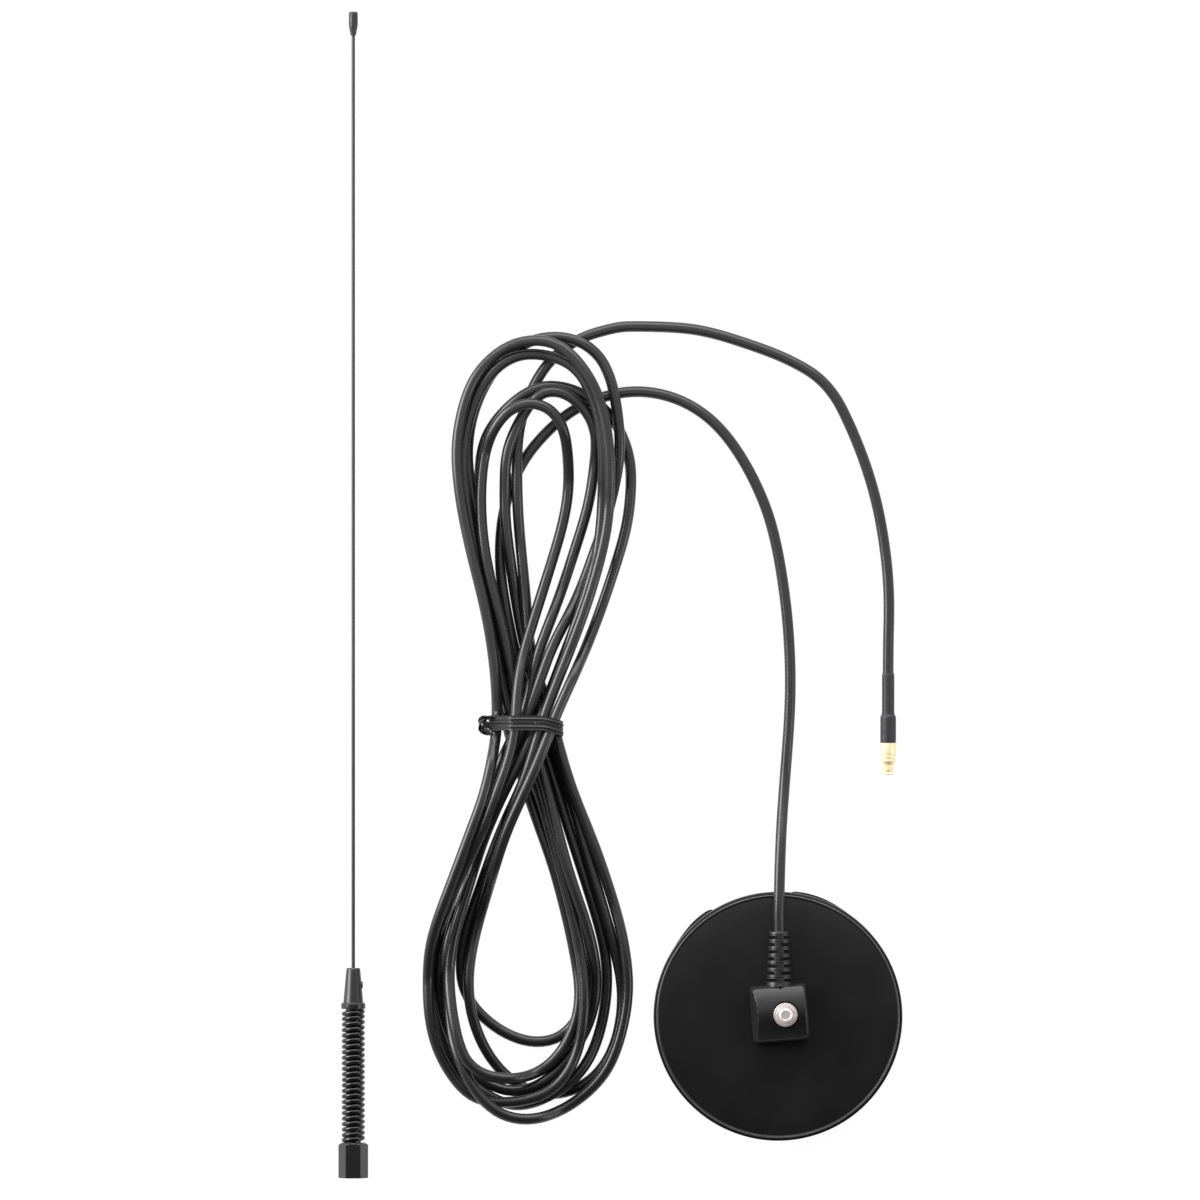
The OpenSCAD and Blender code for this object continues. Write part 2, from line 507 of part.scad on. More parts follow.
// lifts each section onto what it touches, then limits the sag between held-up sections
function settle(dist, touches, floors, heights, passes) = passes == 0 ? heights
    : let (n = len(floors),
        lifted = [for (i = [0:n - 1]) max(floors[i], max(concat([0],
            [for (u = touches[i]) mix(heights[u[0]], heights[u[0] + 1], u[1]) + u[2]])))],
        held = [for (i = [0:n - 1])
            max([for (j = [max(0, i - hold_reach):min(n - 1, i + hold_reach)])
                lifted[j] - sag(abs(dist[j] - dist[i]))])])
        settle(dist, touches, floors, held, passes - 1);

// tube through the points of a path
module tube(path, r, sides) {
    n = len(path);
    skin([for (i = [0:n - 1])
        let (chord = path[min(n - 1, i + 1)] - path[max(0, i - 1)],
            ahead = chord / norm(chord),
            level = [-ahead[1], ahead[0], 0],
            across = level / norm(level),
            up = cross(ahead, across))
        for (k = [0:sides - 1]) let (angle = 360 * k / sides)
            path[i] + r * (cos(angle) * across + sin(angle) * up)], sides);
}
module cable_coil() color(dark_grey) {
    path = smooth(sections(coil_way()), smooth_passes);
    floors = [for (p = path) floor_z(p)];
    z = settle(distances(path), contacts(path), floors, floors, settle_passes);
    // each end stops short of its flex point
    tube(concat(
        [[boot_x, flex_y + flex_gap, relief_z]],
        [for (i = [1:len(path) - 1]) [path[i][0], path[i][1], z[i]]],
        [[lead_hinge[0] - flex_gap, lead_hinge[1], cable_r]]), cable_r, 6);
}
module cable_tail() color(dark_grey)
    on_relief(tail_y0) cylinder(r = cable_r, h = flex_y - flex_gap - tail_y0);
module cable_lead() color(dark_grey) {
    path = sections(LEAD);
    // rises to the plug's axis over its last stretch, on the +X side
    tube(concat(
        [[lead_hinge[0] + flex_gap, lead_hinge[1], cable_r]],
        [for (i = [1:len(path) - 1]) let (x = path[i][0], y = path[i][1])
            [x, y, x > 30 ? mix(cable_r, plug_z, ease((200 - y) / 45)) : cable_r]],
        [[plug_x, lift_y + lift_gap, plug_z]]), cable_r, 8);
}

// ---- twist tie: two flat ribbons round the bundle, side by side along Y ----
// strands at the corners of the bundle, [x, z]
TIE_CORNERS = [[-109.7, 3.15], [-112.9, 11.4], [-105.4, 19.9], [-91.2, 22.1],
    [-88.8, 21.2], [-88.8, 7.4], [-91.8, 3.15]];
module tie_loop(grow) hull()
    for (corner = TIE_CORNERS)
        translate(corner) circle(r = cable_r + 0.25 + grow, $fn = 32);
module twist_tie() color([0.14, 0.14, 0.14])
    for (y = [113.9, 116.9])
        translate([0, y + ribbon_w, 0]) rotate([90, 0, 0]) linear_extrude(ribbon_w)
            difference() {
                tie_loop(ribbon_t);
                tie_loop(0);
            }

// ---- plug, its tip toward -Y; steps start at Y stations unless on_plug is given one ----
tail_y = 119.6;                 // cable's end at the plug
module plug_tail() color(dark_grey)
    on_plug(tail_y) cylinder(r = cable_r, h = lift_y - lift_gap - tail_y);
module shrink_long() color([0.27, 0.26, 0.28]) on_plug(120.5) ring(2.48, sleeve_bore_r, 16.3);
module shrink_short() color([0.25, 0.24, 0.26]) on_plug(109.2) difference() {
    turned([[0, 3.15, 3.15, 10.6], [10.6, 3.15, 2.6, 0.6]]);
    translate([0, 0, -over]) cylinder(r = 2.82, h = 11.3);
    cylinder(r = sleeve_bore_r, h = 14);
}
module crimp_ferrule() color([0.9, 0.75, 0.4]) on_plug(109.4) ring(2.78, sleeve_bore_r, 10);
module plug_body() color([0.95, 0.78, 0.4]) on_plug() difference() {
    // body, neck, front collar, nose cone, rear spigot
    turned([
        [104.4, plug_r, plug_r, 4.7],
        [103.9, 2.75, 2.75, 0.6],
        [102.3, 3, 3, 1.65],
        [101, 2.4, 2.95, 1.35],
        [109, 1.75, 1.75, 9.5]
    ]);
    translate([0, 0, 100]) cylinder(r = 1.45, h = 20);
}
module plug_contact() color(gold) on_plug() {
    slot_w = 0.3;
    difference() {
        turned([
            [99, tip_r, 2.36, 1.95],
            [96.5, tip_r, tip_r, 2.5],
            [96.3, tip_r - 0.2, tip_r, 0.2]
        ]);
        translate([0, 0, 95]) cylinder(r = 1.4, h = 8);
        for (a = [0:60:120]) rotate(a) translate([-4, -slot_w / 2, 95]) cube([8, slot_w, 5.2]);
    }
}
module plug_insulator() color([0.95, 0.95, 0.93]) on_plug(99.6) ring(1.36, 0.42, 18);
module plug_pin() color(gold) on_plug() turned([[97.4, 0.4, 0.4, 21], [97, 0.2, 0.4, 0.41]]);

// ---- whip; steps start at Y stations ----
module hex_coupling() color([0.13, 0.13, 0.13]) on_whip() difference() {
    union() {
        intersection() {
            translate([0, 0, coup_y0]) cylinder(r = hex_ac / 2, h = hex_l, $fn = 6);
            translate([0, 0, coup_y0])
                bevelled(r = hex_ac / 2 + 0.05, drop = 0.8, rise = 0.8, h = hex_l);
        }
        // spigot inside the spring
        turned([
            [coup_y1 - 0.1, spigot_r, spigot_r, 6],
            [coup_y1 + 5.9, spigot_r, spigot_r - 0.6, 0.7]
        ]);
    }
    turned([
        [coup_y0 - over, socket_r, socket_r, socket_l + over],
        [coup_y0 - 0.01, socket_r + 0.45, socket_r, 0.45]
    ]);
}
// coil spring, wound along +Y over the two spigots
module whip_spring() color([0.08, 0.08, 0.08]) {
    rise = spring_y1 - spring_y0 - 2 * wire_r;
    turn_steps = 16;
    steps = ceil(rise / spring_pitch * turn_steps);
    sides = 6;
    skin([for (i = [0:steps])
        let (turn = 360 * i / turn_steps, y = spring_y0 + wire_r + rise * i / steps)
        for (k = [0:sides - 1])
            let (angle = 360 * k / sides, r = coil_r + wire_r * cos(angle))
            [whip_x + r * cos(turn), y + wire_r * sin(angle), whip_z - r * sin(turn)]],
        sides, flip = true);
}
// copper braid in a black sleeve; its ends are round about the two points where the spring bends
module shunt_core() color([0.07, 0.07, 0.07]) on_whip() {
    translate([0, 0, bend_y0]) cylinder(r = core_r, h = bend_y1 - bend_y0);
    for (y = [bend_y0, bend_y1]) translate([0, 0, y]) sphere(r = core_r, $fn = 48);
}
module whip_ferrule() color([0.15, 0.15, 0.15]) on_whip() difference() {
    // collar in three steps, taper, end bevel, spigot inside the spring
    turned([
        [fer_y0, 4.6, 4.86, 0.3],
        [fer_y0 + 0.3, 4.86, 4.86, 1.7],
        [fer_y0 + 2, 4.86, 4.5, 0.4],
        [fer_y0 + 2.2, 3.98, 2.78, fer_y1 - fer_y0 - 2.7],
        [fer_y1 - 0.5, 2.78, 2.3, 0.5],
        [fer_y0 - 6.4, spigot_r, spigot_r, 6.5]
    ]);
    // holes for the rod and the grub screw
    translate([0, 0, 4.2]) cylinder(r = 0.77, h = 30);
    translate([0, 0, grub_y]) rotate([0, 90, 0]) cylinder(r = 1.5, h = 10);
}
// points along +X, with a hexagonal socket in its outer end
module grub_screw() color([0.1, 0.1, 0.1])
    translate([whip_x, grub_y, whip_z]) rotate([0, 90, 0]) difference() {
        turned([[0.8, 0.9, 1.45, 0.5], [1.3, 1.45, 1.45, 2.3], [3.6, 1.45, 1.25, 0.2]]);
        translate([0, 0, 2.2]) cylinder(r = 0.87, h = 3, $fn = 6);
    }
rod_y0 = 7;                     // rod's end inside the ferrule
module whip_rod() color(dark_grey)
    on_whip(rod_y0) cylinder(r = rod_r, h = whip_tip - 1.6 - rod_y0);
module tip_cap() color([0.1, 0.1, 0.1]) on_whip() {
    cap_r = 1.84;
    difference() {
        turned([
            [whip_tip - 9.6, 1.05, cap_r, 3.6],
            [whip_tip - 6, cap_r, cap_r, 5.4],
            [whip_tip - 0.6, cap_r, 1.3, 0.6]
        ]);
        translate([0, 0, whip_tip - 10]) cylinder(r = rod_r + 0.02, h = 8.5);
    }
}

base_cup();
magnet_ring();
magnet_pad();
edge_gasket();
stud();
stud_collar();
insulator_bush();
insulator_washer();
stud_tag();
lock_washer();
stud_nut();
cable_boot();
strain_relief();
centre_wire();
ground_tag();
ground_rivet();
cable_tail();
cable_coil();
twist_tie();
cable_lead();
plug_tail();
shrink_long();
shrink_short();
crimp_ferrule();
plug_body();
plug_contact();
plug_insulator();
plug_pin();
hex_coupling();
whip_spring();
shunt_core();
whip_ferrule();
grub_screw();
whip_rod();
tip_cap();
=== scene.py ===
# A magnet base with its feed cable and plug, and a whip lying beside them, all on the floor z = 0.
# The base is centred on the origin with its stud pointing up (+Z). The cable leaves it toward +Y,
# is coiled on the left (-X) and comes back on the right to the plug, whose tip points toward -Y.
# The whip lies along Y at the far left, nut at -Y and tip at +Y. The camera looks straight down.
import json
import math
import bpy
import bmesh
import numpy as np
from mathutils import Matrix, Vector


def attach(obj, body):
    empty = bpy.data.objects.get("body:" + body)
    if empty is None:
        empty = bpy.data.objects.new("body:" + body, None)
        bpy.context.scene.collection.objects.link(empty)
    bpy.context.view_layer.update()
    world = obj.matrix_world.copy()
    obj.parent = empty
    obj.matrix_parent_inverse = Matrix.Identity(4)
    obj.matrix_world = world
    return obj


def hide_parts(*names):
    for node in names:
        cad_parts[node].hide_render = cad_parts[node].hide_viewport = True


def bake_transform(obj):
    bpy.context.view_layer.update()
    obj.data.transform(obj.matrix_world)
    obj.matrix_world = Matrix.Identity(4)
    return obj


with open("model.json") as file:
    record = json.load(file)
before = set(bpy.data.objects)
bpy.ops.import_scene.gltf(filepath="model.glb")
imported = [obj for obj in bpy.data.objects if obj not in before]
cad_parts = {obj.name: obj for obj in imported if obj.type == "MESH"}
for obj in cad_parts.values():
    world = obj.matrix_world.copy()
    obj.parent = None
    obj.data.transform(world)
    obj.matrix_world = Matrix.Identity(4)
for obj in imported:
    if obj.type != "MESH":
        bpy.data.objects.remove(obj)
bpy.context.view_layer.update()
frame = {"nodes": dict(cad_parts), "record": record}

PI = math.pi
rng = np.random.default_rng(7)

# ------------------------------------------------------------------ places and driving sizes
BASE_R = 49.7                      # magnet cup
DECK_Z = 10.5                      # top of the cup
STUD_X, STUD_Y = 2.8, 1.0
STUD_AT = (STUD_X, STUD_Y, 0)
RELIEF_X, RELIEF_Z = 0.35, 16.0    # axis of the strain relief, along Y
CABLE_R = 2.2
PLUG_X, PLUG_Z = 44.1, 3.35
PLUG_AT = (PLUG_X, 0, PLUG_Z)
WHIP_X, WHIP_Z = -169.7, 5.2
WHIP_AT = (WHIP_X, 0, WHIP_Z)

# Lay of the coil: (lay, [(x, y), ...]). A stretch rests on every stretch of a lower lay.
COIL = [
    (0, [(0.1, 33.9), (0.5, 52.3), (1.3, 73.9), (2.9, 95.5), (4.7, 121.5), (4.9, 139.1),
        (3.5, 161.5), (-1.1, 190.3), (-6.5, 207.3), (-14.2, 222.7), (-23.3, 234.8),
        (-32.5, 242.5), (-44, 247.9), (-55.5, 249.4), (-66.3, 248.5), (-75.1, 245.5),
        (-85.1, 239.7), (-95.1, 230.3), (-102.3, 220.7), (-105.7, 213.5), (-108.3, 206.3),
        (-110.1, 198.3), (-111.1, 188.3), (-110.7, 178.3), (-109.3, 166.3), (-105.3, 146.3),
        (-99.9, 126.3), (-96.1, 114.7), (-88.7, 91.9), (-83.7, 75.1), (-78.3, 58.3),
        (-70.2, 30.3), (-68.3, 14.3), (-69.2, 3.9), (-71.3, -6.1)]),
    (9, [(-74.6, -14.5), (-78.7, -22.1), (-84.7, -27.7), (-92.7, -32.1)]),
    (10.5, [(-99.1, -34.3), (-104.7, -35.3), (-111.5, -34.1), (-119.1, -29.7), (-126.3, -22.9)]),
    (10.5, [(-132.3, -13.7), (-136.7, -2.5), (-139.1, 12.3)]),
    (15, [(-137.5, 30.3), (-132.3, 44.3), (-125.9, 58.3), (-117.9, 75.1), (-111.5, 91.9),
        (-106.1, 107.5), (-104.7, 120.7), (-103.5, 134.3), (-101.5, 145.1), (-95.1, 166.3),
        (-90.2, 182.3), (-86.7, 194.3), (-84.3, 206.3), (-83.7, 218.3), (-84.4, 226.3),
        (-87.5, 237.5)]),
    (7, [(-91.5, 241.9), (-99.5, 246.3), (-107.9, 241.9), (-113.3, 234.3), (-116.3, 226.3),
        (-118.7, 206.3), (-116.5, 182.3), (-111.9, 162.3), (-107.1, 142.3), (-103.1, 126.3),
        (-99.5, 114.7), (-92.7, 91.9), (-88.3, 75.1), (-83.8, 58.3), (-79.1, 44.3),
        (-74.9, 30.3), (-72.7, 14.3)]),
    (8, [(-73.5, 4.7), (-75.9, -3.3), (-80.3, -11.7), (-85.9, -18.9), (-90.9, -24.1),
        (-97.1, -27.9), (-103.1, -29.6), (-108.3, -29.2), (-115.1, -27.3)]),
    (10, [(-121.9, -23.3), (-127.9, -16.9), (-132.7, -6.5), (-134.7, 3.1), (-135.3, 12.3),
        (-133.7, 30.3), (-129.5, 44.3), (-125.1, 58.3), (-119.9, 75.1), (-114.3, 91.9),
        (-108.3, 107.5), (-101.3, 120.7), (-98.3, 134.3), (-95.7, 145.1), (-87.8, 166.3),
        (-82.5, 182.3), (-78.7, 194.3), (-75.4, 206.3), (-73.1, 226.3), (-74.5, 237.5)]),
    (6, [(-79.1, 246.3), (-88.3, 249.2), (-93.1, 248.7), (-97.9, 245.5), (-102.3, 239.1),
        (-106.3, 230.3), (-107.9, 226.3), (-109.1, 206.3), (-108.5, 194.3), (-106.9, 182.3),
        (-104.7, 166.3), (-100.7, 146.3), (-95.5, 126.3), (-91.9, 114.7), (-84.3, 91.9),
        (-79.1, 75.1), (-74.3, 58.3), (-66.3, 30.3), (-62.7, 14.3)]),
    (7, [(-62.3, 6.3), (-63.1, -2.1), (-65.5, -11.7), (-69.1, -18.5), (-74.7, -25.3),
        (-82.7, -29.7), (-91.9, -31.5), (-100.3, -28.9), (-107.5, -24.1), (-112.9, -18.9)]),
    (14, [(-117.9, -11.3), (-121.3, -2.5), (-123.1, 6.3), (-123.6, 14.3), (-121.5, 30.3),
        (-117.7, 44.3), (-113.5, 58.3), (-107.9, 75.1), (-100.3, 91.9), (-93.1, 108.7),
        (-88.5, 120.7), (-84.2, 130.3), (-77.6, 145.1), (-69.5, 166.3), (-64.3, 182.3)]),
    (2, [(-60.9, 194.3), (-59.1, 206.3), (-58.9, 214.3), (-59.9, 226.3), (-63.1, 232.3),
        (-69.1, 242.3), (-77.1, 249.1), (-87.1, 251.3), (-99.1, 249.5), (-106.3, 244.7),
        (-112.3, 238.3), (-116.3, 231.5), (-118.1, 226.3), (-119.2, 210.3), (-118.7, 198.3),
        (-117.5, 182.3), (-114.7, 162.3), (-111.7, 142.3), (-110.1, 126.3), (-107.1, 112.3),
        (-100.9, 91.9), (-95.1, 75.1), (-89.3, 58.3), (-82.3, 30.3), (-79.7, 14.3)]),
    (8.5, [(-79.9, 3.1), (-82.1, -6.1)]),
    (13, [(-85.9, -12.9), (-90.9, -18.5), (-97.9, -22.9), (-103.1, -24.3), (-111.9, -24.1),
        (-119.9, -21.7), (-124.3, -17.7), (-127.1, -10.5), (-129.1, -1.7)]),
    (12, [(-130.7, 6.3), (-131.3, 14.3), (-129.9, 30.3), (-125.9, 44.3), (-121.7, 58.3),
        (-115.9, 75.1), (-108.3, 91.9), (-99.9, 108.7), (-94.3, 120.7), (-90.7, 130.3),
        (-85.1, 145.1), (-77.3, 166.3), (-72.9, 182.3), (-70.9, 194.3), (-70.1, 206.3),
        (-69.9, 226.3), (-71.9, 239.9), (-75.1, 249.5)]),
    (4, [(-79.1, 256.7), (-83.1, 259.9), (-89.5, 263.1), (-97.1, 264.3), (-103.1, 263.9),
        (-109.1, 261.5), (-119.1, 250.3), (-123.1, 238.3), (-125.9, 226.3), (-124.7, 206.3),
        (-119.9, 182.3), (-116.7, 166.3), (-112.7, 146.3), (-108.7, 126.3), (-104.7, 114.7),
        (-96.3, 91.9), (-91.3, 75.1), (-86.7, 58.3), (-79.9, 30.3)]),
    (14, [(-77.5, 12.3), (-77.3, 5.9), (-77.8, -2.1), (-79.1, -10.4), (-81.5, -16.5),
        (-84.7, -22.5), (-88.8, -28.1)]),
    (11.5, [(-95.1, -31.7), (-103.1, -33.7), (-111.1, -34.1), (-117.5, -33.3), (-122.5, -31.3),
        (-126.3, -28.1), (-130.7, -22.5)]),
    (16, [(-134.1, -16.5), (-137, -10.4), (-138.7, -2.1), (-139.7, 12.3), (-138.3, 30.3),
        (-133.7, 44.3), (-128.5, 58.3), (-122.3, 75.1), (-116.5, 91.9), (-113.3, 108.7),
        (-112.2, 120.7)]),
    (5, [(-112.5, 130.3), (-113.9, 145.1), (-117.7, 166.3), (-121.8, 182.3), (-124.4, 194.3),
        (-126.7, 206.3), (-127.9, 218.3), (-128, 229.9), (-126.9, 239.1), (-123.9, 249.1),
        (-118.3, 258.3), (-109.9, 266.3), (-99.1, 269.7), (-92.3, 269.5), (-87.1, 267.5)]),
    (13, [(-82.3, 263.9), (-77.5, 257.5), (-74.3, 252.3), (-71.1, 246.7), (-69.5, 237.5),
        (-67.5, 226.3), (-67.5, 206.3), (-68.7, 194.3), (-71.3, 182.3), (-75.9, 166.3),
        (-83.7, 145.1), (-89.5, 130.3), (-93.1, 120.7), (-96.3, 110.3), (-98.7, 102.3),
        (-102.5, 91.9)]),
    (10.2, [(-110.1, 75.1), (-116.5, 58.3), (-121.3, 44.3), (-125.5, 30.3), (-126.9, 20.3),
        (-125.7, 12.3), (-122.7, 5.5)]),
    (6, [(-117.1, -0.5), (-110.3, -6.1), (-103.9, -8.9), (-97.1, -10.1)]),
    (1.5, [(-86.7, -7.9), (-79.9, 0.3), (-75.9, 12.3), (-79.1, 30.3), (-85.7, 58.3),
        (-90.1, 75.1), (-93.1, 86.3)]),
    (3, [(-94.9, 91.9), (-101.9, 114.7), (-105.5, 126.3), (-109.1, 146.3), (-113.3, 166.3),
        (-116.5, 182.3), (-121.3, 206.3), (-123.7, 218.3), (-123.9, 226.3), (-123.1, 234.3),
        (-121.1, 243.1), (-117.3, 251.1), (-112.1, 259.1), (-105.5, 266.3), (-96.7, 270.3),
        (-86.3, 271.5)]),
    (11, [(-77.1, 268.3), (-71.1, 262.3), (-67.5, 256.3), (-65.3, 246.3), (-63.9, 237.5),
        (-63.3, 226.3), (-63.9, 219.5), (-65.1, 213.5), (-66.7, 206.3), (-70.1, 194.3),
        (-74.7, 182.3), (-80.3, 166.3), (-84.7, 158.3), (-88.9, 150.3), (-91.2, 145.1),
        (-96.3, 130.3), (-100.1, 120.7), (-104.7, 108.7), (-110.3, 91.9), (-116.3, 75.1),
        (-123.1, 58.3), (-127.5, 44.3), (-131.5, 30.3), (-132.5, 12.3), (-131.2, 1.5),
        (-129.6, -10.4)]),
    (12.9, [(-126.7, -18.5), (-122.3, -26.7), (-116.6, -34.9), (-110.4, -38.1), (-103.1, -40.7),
        (-95, -40.2), (-86.5, -37.5), (-78.1, -32.4), (-71.5, -24.9), (-65.9, -15.9)]),
    (8, [(-62.3, -6.1), (-60.3, 3.9), (-60.2, 12.3), (-61.9, 30.3), (-69.9, 58.3),
        (-76.1, 75.1), (-82.7, 91.9)]),
    (6.5, [(-88.7, 112.3), (-91.9, 124.3), (-95.5, 134.3), (-98.9, 146.3), (-100.7, 166.3),
        (-102.3, 182.3)]),
    (1, [(-104.1, 206.3), (-104.1, 222.3), (-103.3, 234.3), (-100.9, 244.3), (-97, 252.7),
        (-92.1, 260.7), (-87.1, 265.5), (-81.1, 269.1), (-75.9, 271.9), (-71.1, 273.9),
        (-63.1, 275.4), (-51.6, 275.8)]),
]
# The free run from the coil to the plug: (x, y), of lay 1.
LEAD = [
    (-32.5, 274.3), (-9.5, 267.8), (5.7, 261.6), (15.7, 255.5), (22.6, 247.9), (28.7, 236.3),
    (35.6, 218.7), (40.2, 201.9), (43.3, 182.8), (44.3, 169.5), (44.4, 160), (44.2, 150),
    (44.1, 138), (44.1, 126), (44.1, 110.5),
]


# ------------------------------------------------------------------ materials
def feed(tree, node, inputs):
    """link each input that is given a socket, and set each that is given a value"""
    for key, value in inputs.items():
        if isinstance(value, bpy.types.NodeSocket):
            tree.links.new(value, node.inputs[key])
        else:
            node.inputs[key].default_value = value


def add_node(tree, kind, inputs=None, **options):
    node = tree.nodes.new("ShaderNode" + kind)
    for key, value in options.items():
        setattr(node, key, value)
    feed(tree, node, inputs or {})
    return node


def new_material(name):
    material = bpy.data.materials.new(name)
    material.use_nodes = True
    tree = material.node_tree
    tree.nodes.clear()
    output = add_node(tree, "OutputMaterial")
    shader = add_node(tree, "BsdfPrincipled")
    feed(tree, output, {0: shader.outputs[0]})
    return material, tree, shader, output


def noise(tree, vector, scale, detail):
    inputs = {"Scale": scale, "Detail": detail, "Vector": vector}
    return add_node(tree, "TexNoise", inputs).outputs[0]


def ramp(tree, source, stops, colours=None):
    node = add_node(tree, "ValToRGB", {0: source})
    for i, stop in enumerate(stops):
        node.color_ramp.elements[i].position = stop
        if colours:
            node.color_ramp.elements[i].color = (*colours[i], 1)
    return node.outputs[0]


def multiply(tree, first, second):
    return add_node(tree, "Math", {0: first, 1: second}, operation="MULTIPLY").outputs[0]


def blend_colour(tree, share, under, over):
    inputs = {0: share, 6: under, 7: (*over, 1)}
    return add_node(tree, "Mix", inputs, data_type="RGBA").outputs[2]


def finish(name, colour, rough, vary, scale, bump, bump_scale, metal=0.0, rough_vary=0.12,
           spec=0.5, sheen=0.0, tint=(1, 1, 1), stretch=(1, 1, 1), dust=0.0,
           wear=None, wear_at=None):
    """procedural finish
    vary, scale: strength and noise scale of the colour mottling; tint warms its light side
    rough_vary: how far the roughness strays; bump, bump_scale: strength and scale of the grain
    stretch: scale of the noise along each axis; dust: how strongly grey specks show
    wear, wear_at: colour of raised edges, and the pointiness where it starts and is full
    """
    material, tree, shader, _ = new_material(name)
    local = add_node(tree, "TexCoord").outputs["Object"]
    mapped = add_node(tree, "Mapping", {0: local, "Scale": stretch}).outputs[0]
    dark = [c * (1 - vary) for c in colour]
    light = [min(1, c * (1 + vary) * t) for c, t in zip(colour, tint)]
    mottle = noise(tree, mapped, scale=scale, detail=6)
    surface = ramp(tree, mottle, stops=(0.3, 0.7), colours=(dark, light))
    if dust:
        specks = ramp(tree, noise(tree, local, scale=3200, detail=2), stops=(0.70, 0.76))
        surface = blend_colour(tree, multiply(tree, specks, dust), surface, (0.35, 0.35, 0.35))
    patches = noise(tree, mapped, scale=scale * 4.3, detail=5)
    roughness = add_node(tree, "MapRange", {
        "From Min": 0.3, "From Max": 0.7, "Value": patches,
        "To Min": max(0.02, rough - rough_vary), "To Max": min(1.0, rough + rough_vary)})
    if wear:
        geometry = add_node(tree, "NewGeometry")
        edges = ramp(tree, geometry.outputs["Pointiness"], stops=wear_at)
        surface = blend_colour(tree, multiply(tree, edges, patches), surface, wear)
    grain = noise(tree, mapped, scale=bump_scale, detail=4)
    relief = add_node(tree, "Bump", {"Strength": bump, "Distance": 0.0002, "Height": grain})
    feed(tree, shader, {
        "Base Color": surface, "Roughness": roughness.outputs[0], "Metallic": metal,
        "Specular IOR Level": spec, "Coat Roughness": 0.15, "Sheen Weight": sheen,
        "Normal": relief.outputs[0]})
    return material


FINISHES = dict(
    cup_paint=dict(
        colour=(0.0058, 0.0058, 0.0059), rough=0.34, vary=0.12, scale=18, rough_vary=0.03,
        bump=0.06, bump_scale=1500, wear=(0.03, 0.03, 0.03), wear_at=(0.56, 0.7), dust=0.04),
    ferrite=dict(
        colour=(0.055, 0.055, 0.058), rough=0.7, vary=0.3, scale=300, bump=0.3, bump_scale=1400),
    pad_rubber=dict(
        colour=(0.010, 0.010, 0.010), rough=0.75, vary=0.3, scale=120,
        bump=0.35, bump_scale=700, spec=0.3),
    boot_rubber=dict(
        colour=(0.0060, 0.0060, 0.0064), rough=0.36, vary=0.16, scale=150, rough_vary=0.04,
        bump=0.12, bump_scale=2600, spec=0.55, sheen=0.02),
    plated_steel=dict(
        colour=(0.86, 0.79, 0.775), rough=0.36, metal=0.72, vary=0.04, scale=500,
        rough_vary=0.05, bump=0.10, bump_scale=2500),
    zinc_steel=dict(
        colour=(0.55, 0.55, 0.53), rough=0.38, metal=1.0, vary=0.12, scale=400,
        bump=0.15, bump_scale=2000),
    nylon=dict(
        colour=(0.72, 0.70, 0.62), rough=0.45, vary=0.06, scale=200, bump=0.1, bump_scale=1500),
    tag_brass=dict(
        colour=(0.62, 0.46, 0.20), rough=0.33, metal=1.0, vary=0.15, scale=500,
        bump=0.12, bump_scale=1800),
    copper=dict(
        colour=(0.62, 0.33, 0.19), rough=0.38, metal=1.0, vary=0.15, scale=900,
        bump=0.2, bump_scale=2600, stretch=(1, 0.25, 1)),
    # painted highlight: lighter finish for the line on the rim bead's crest
    painted_rim_highlight=dict(
        colour=(0.060, 0.060, 0.061), rough=0.30, vary=0.35, scale=60, rough_vary=0.05,
        bump=0.05, bump_scale=1500),
    # sleeve inside the spring; also painted shade on the relief's slot floors and bore
    core_sleeve=dict(
        colour=(0.0035, 0.0035, 0.0036), rough=0.62, vary=0.2, scale=500, rough_vary=0.06,
        bump=0.4, bump_scale=2400, spec=0.25),
    jacket=dict(
        colour=(0.015, 0.015, 0.0153), rough=0.27, vary=0.12, scale=55, rough_vary=0.04,
        bump=0.06, bump_scale=1700, spec=0.52, dust=0.05),
    tie_ribbon=dict(
        colour=(0.006, 0.006, 0.0062), rough=0.34, vary=0.15, scale=260, rough_vary=0.08,
        bump=0.15, bump_scale=2200),
    shrink_sleeve=dict(
        colour=(0.016, 0.0148, 0.0166), rough=0.5, vary=0.15, scale=160, rough_vary=0.07,
        bump=0.28, bump_scale=1500, tint=(1.05, 0.97, 1.05)),
    plug_gold=dict(
        colour=(1.0, 0.82, 0.50), rough=0.34, metal=0.45, vary=0.02, scale=600,
        rough_vary=0.04, bump=0.06, bump_scale=3000),
    ptfe=dict(
        colour=(0.80, 0.80, 0.77), rough=0.40, vary=0.05, scale=300, bump=0.08, bump_scale=1500),
    black_chrome=dict(
        colour=(0.0115, 0.0115, 0.0117), rough=0.30, vary=0.12, scale=140, rough_vary=0.03,
        bump=0.015, bump_scale=1900, spec=0.62, wear=(0.05, 0.05, 0.05), wear_at=(0.56, 0.68)),
    spring_gloss=dict(
        colour=(0.0028, 0.0028, 0.0029), rough=0.20, vary=0.2, scale=160, rough_vary=0.07,
        bump=0.06, bump_scale=1500, spec=0.6),
    rod_steel=dict(
        colour=(0.030, 0.030, 0.030), rough=0.34, vary=0.2, scale=120, rough_vary=0.1,
        bump=0.15, bump_scale=1500, stretch=(1, 0.1, 1), spec=0.55),
    cap_plastic=dict(
        colour=(0.013, 0.013, 0.0132), rough=0.36, vary=0.15, scale=220,
        bump=0.12, bump_scale=2200),
)
MATERIALS = {name: finish(name, **values) for name, values in FINISHES.items()}


def dress_cad_pieces():
    slots = {part["node"]: part["material_slot"] for part in frame["record"]["subparts"]}
    for name, ob in frame["nodes"].items():
        ob.data.materials.clear()
        ob.data.materials.append(MATERIALS[slots[name]])


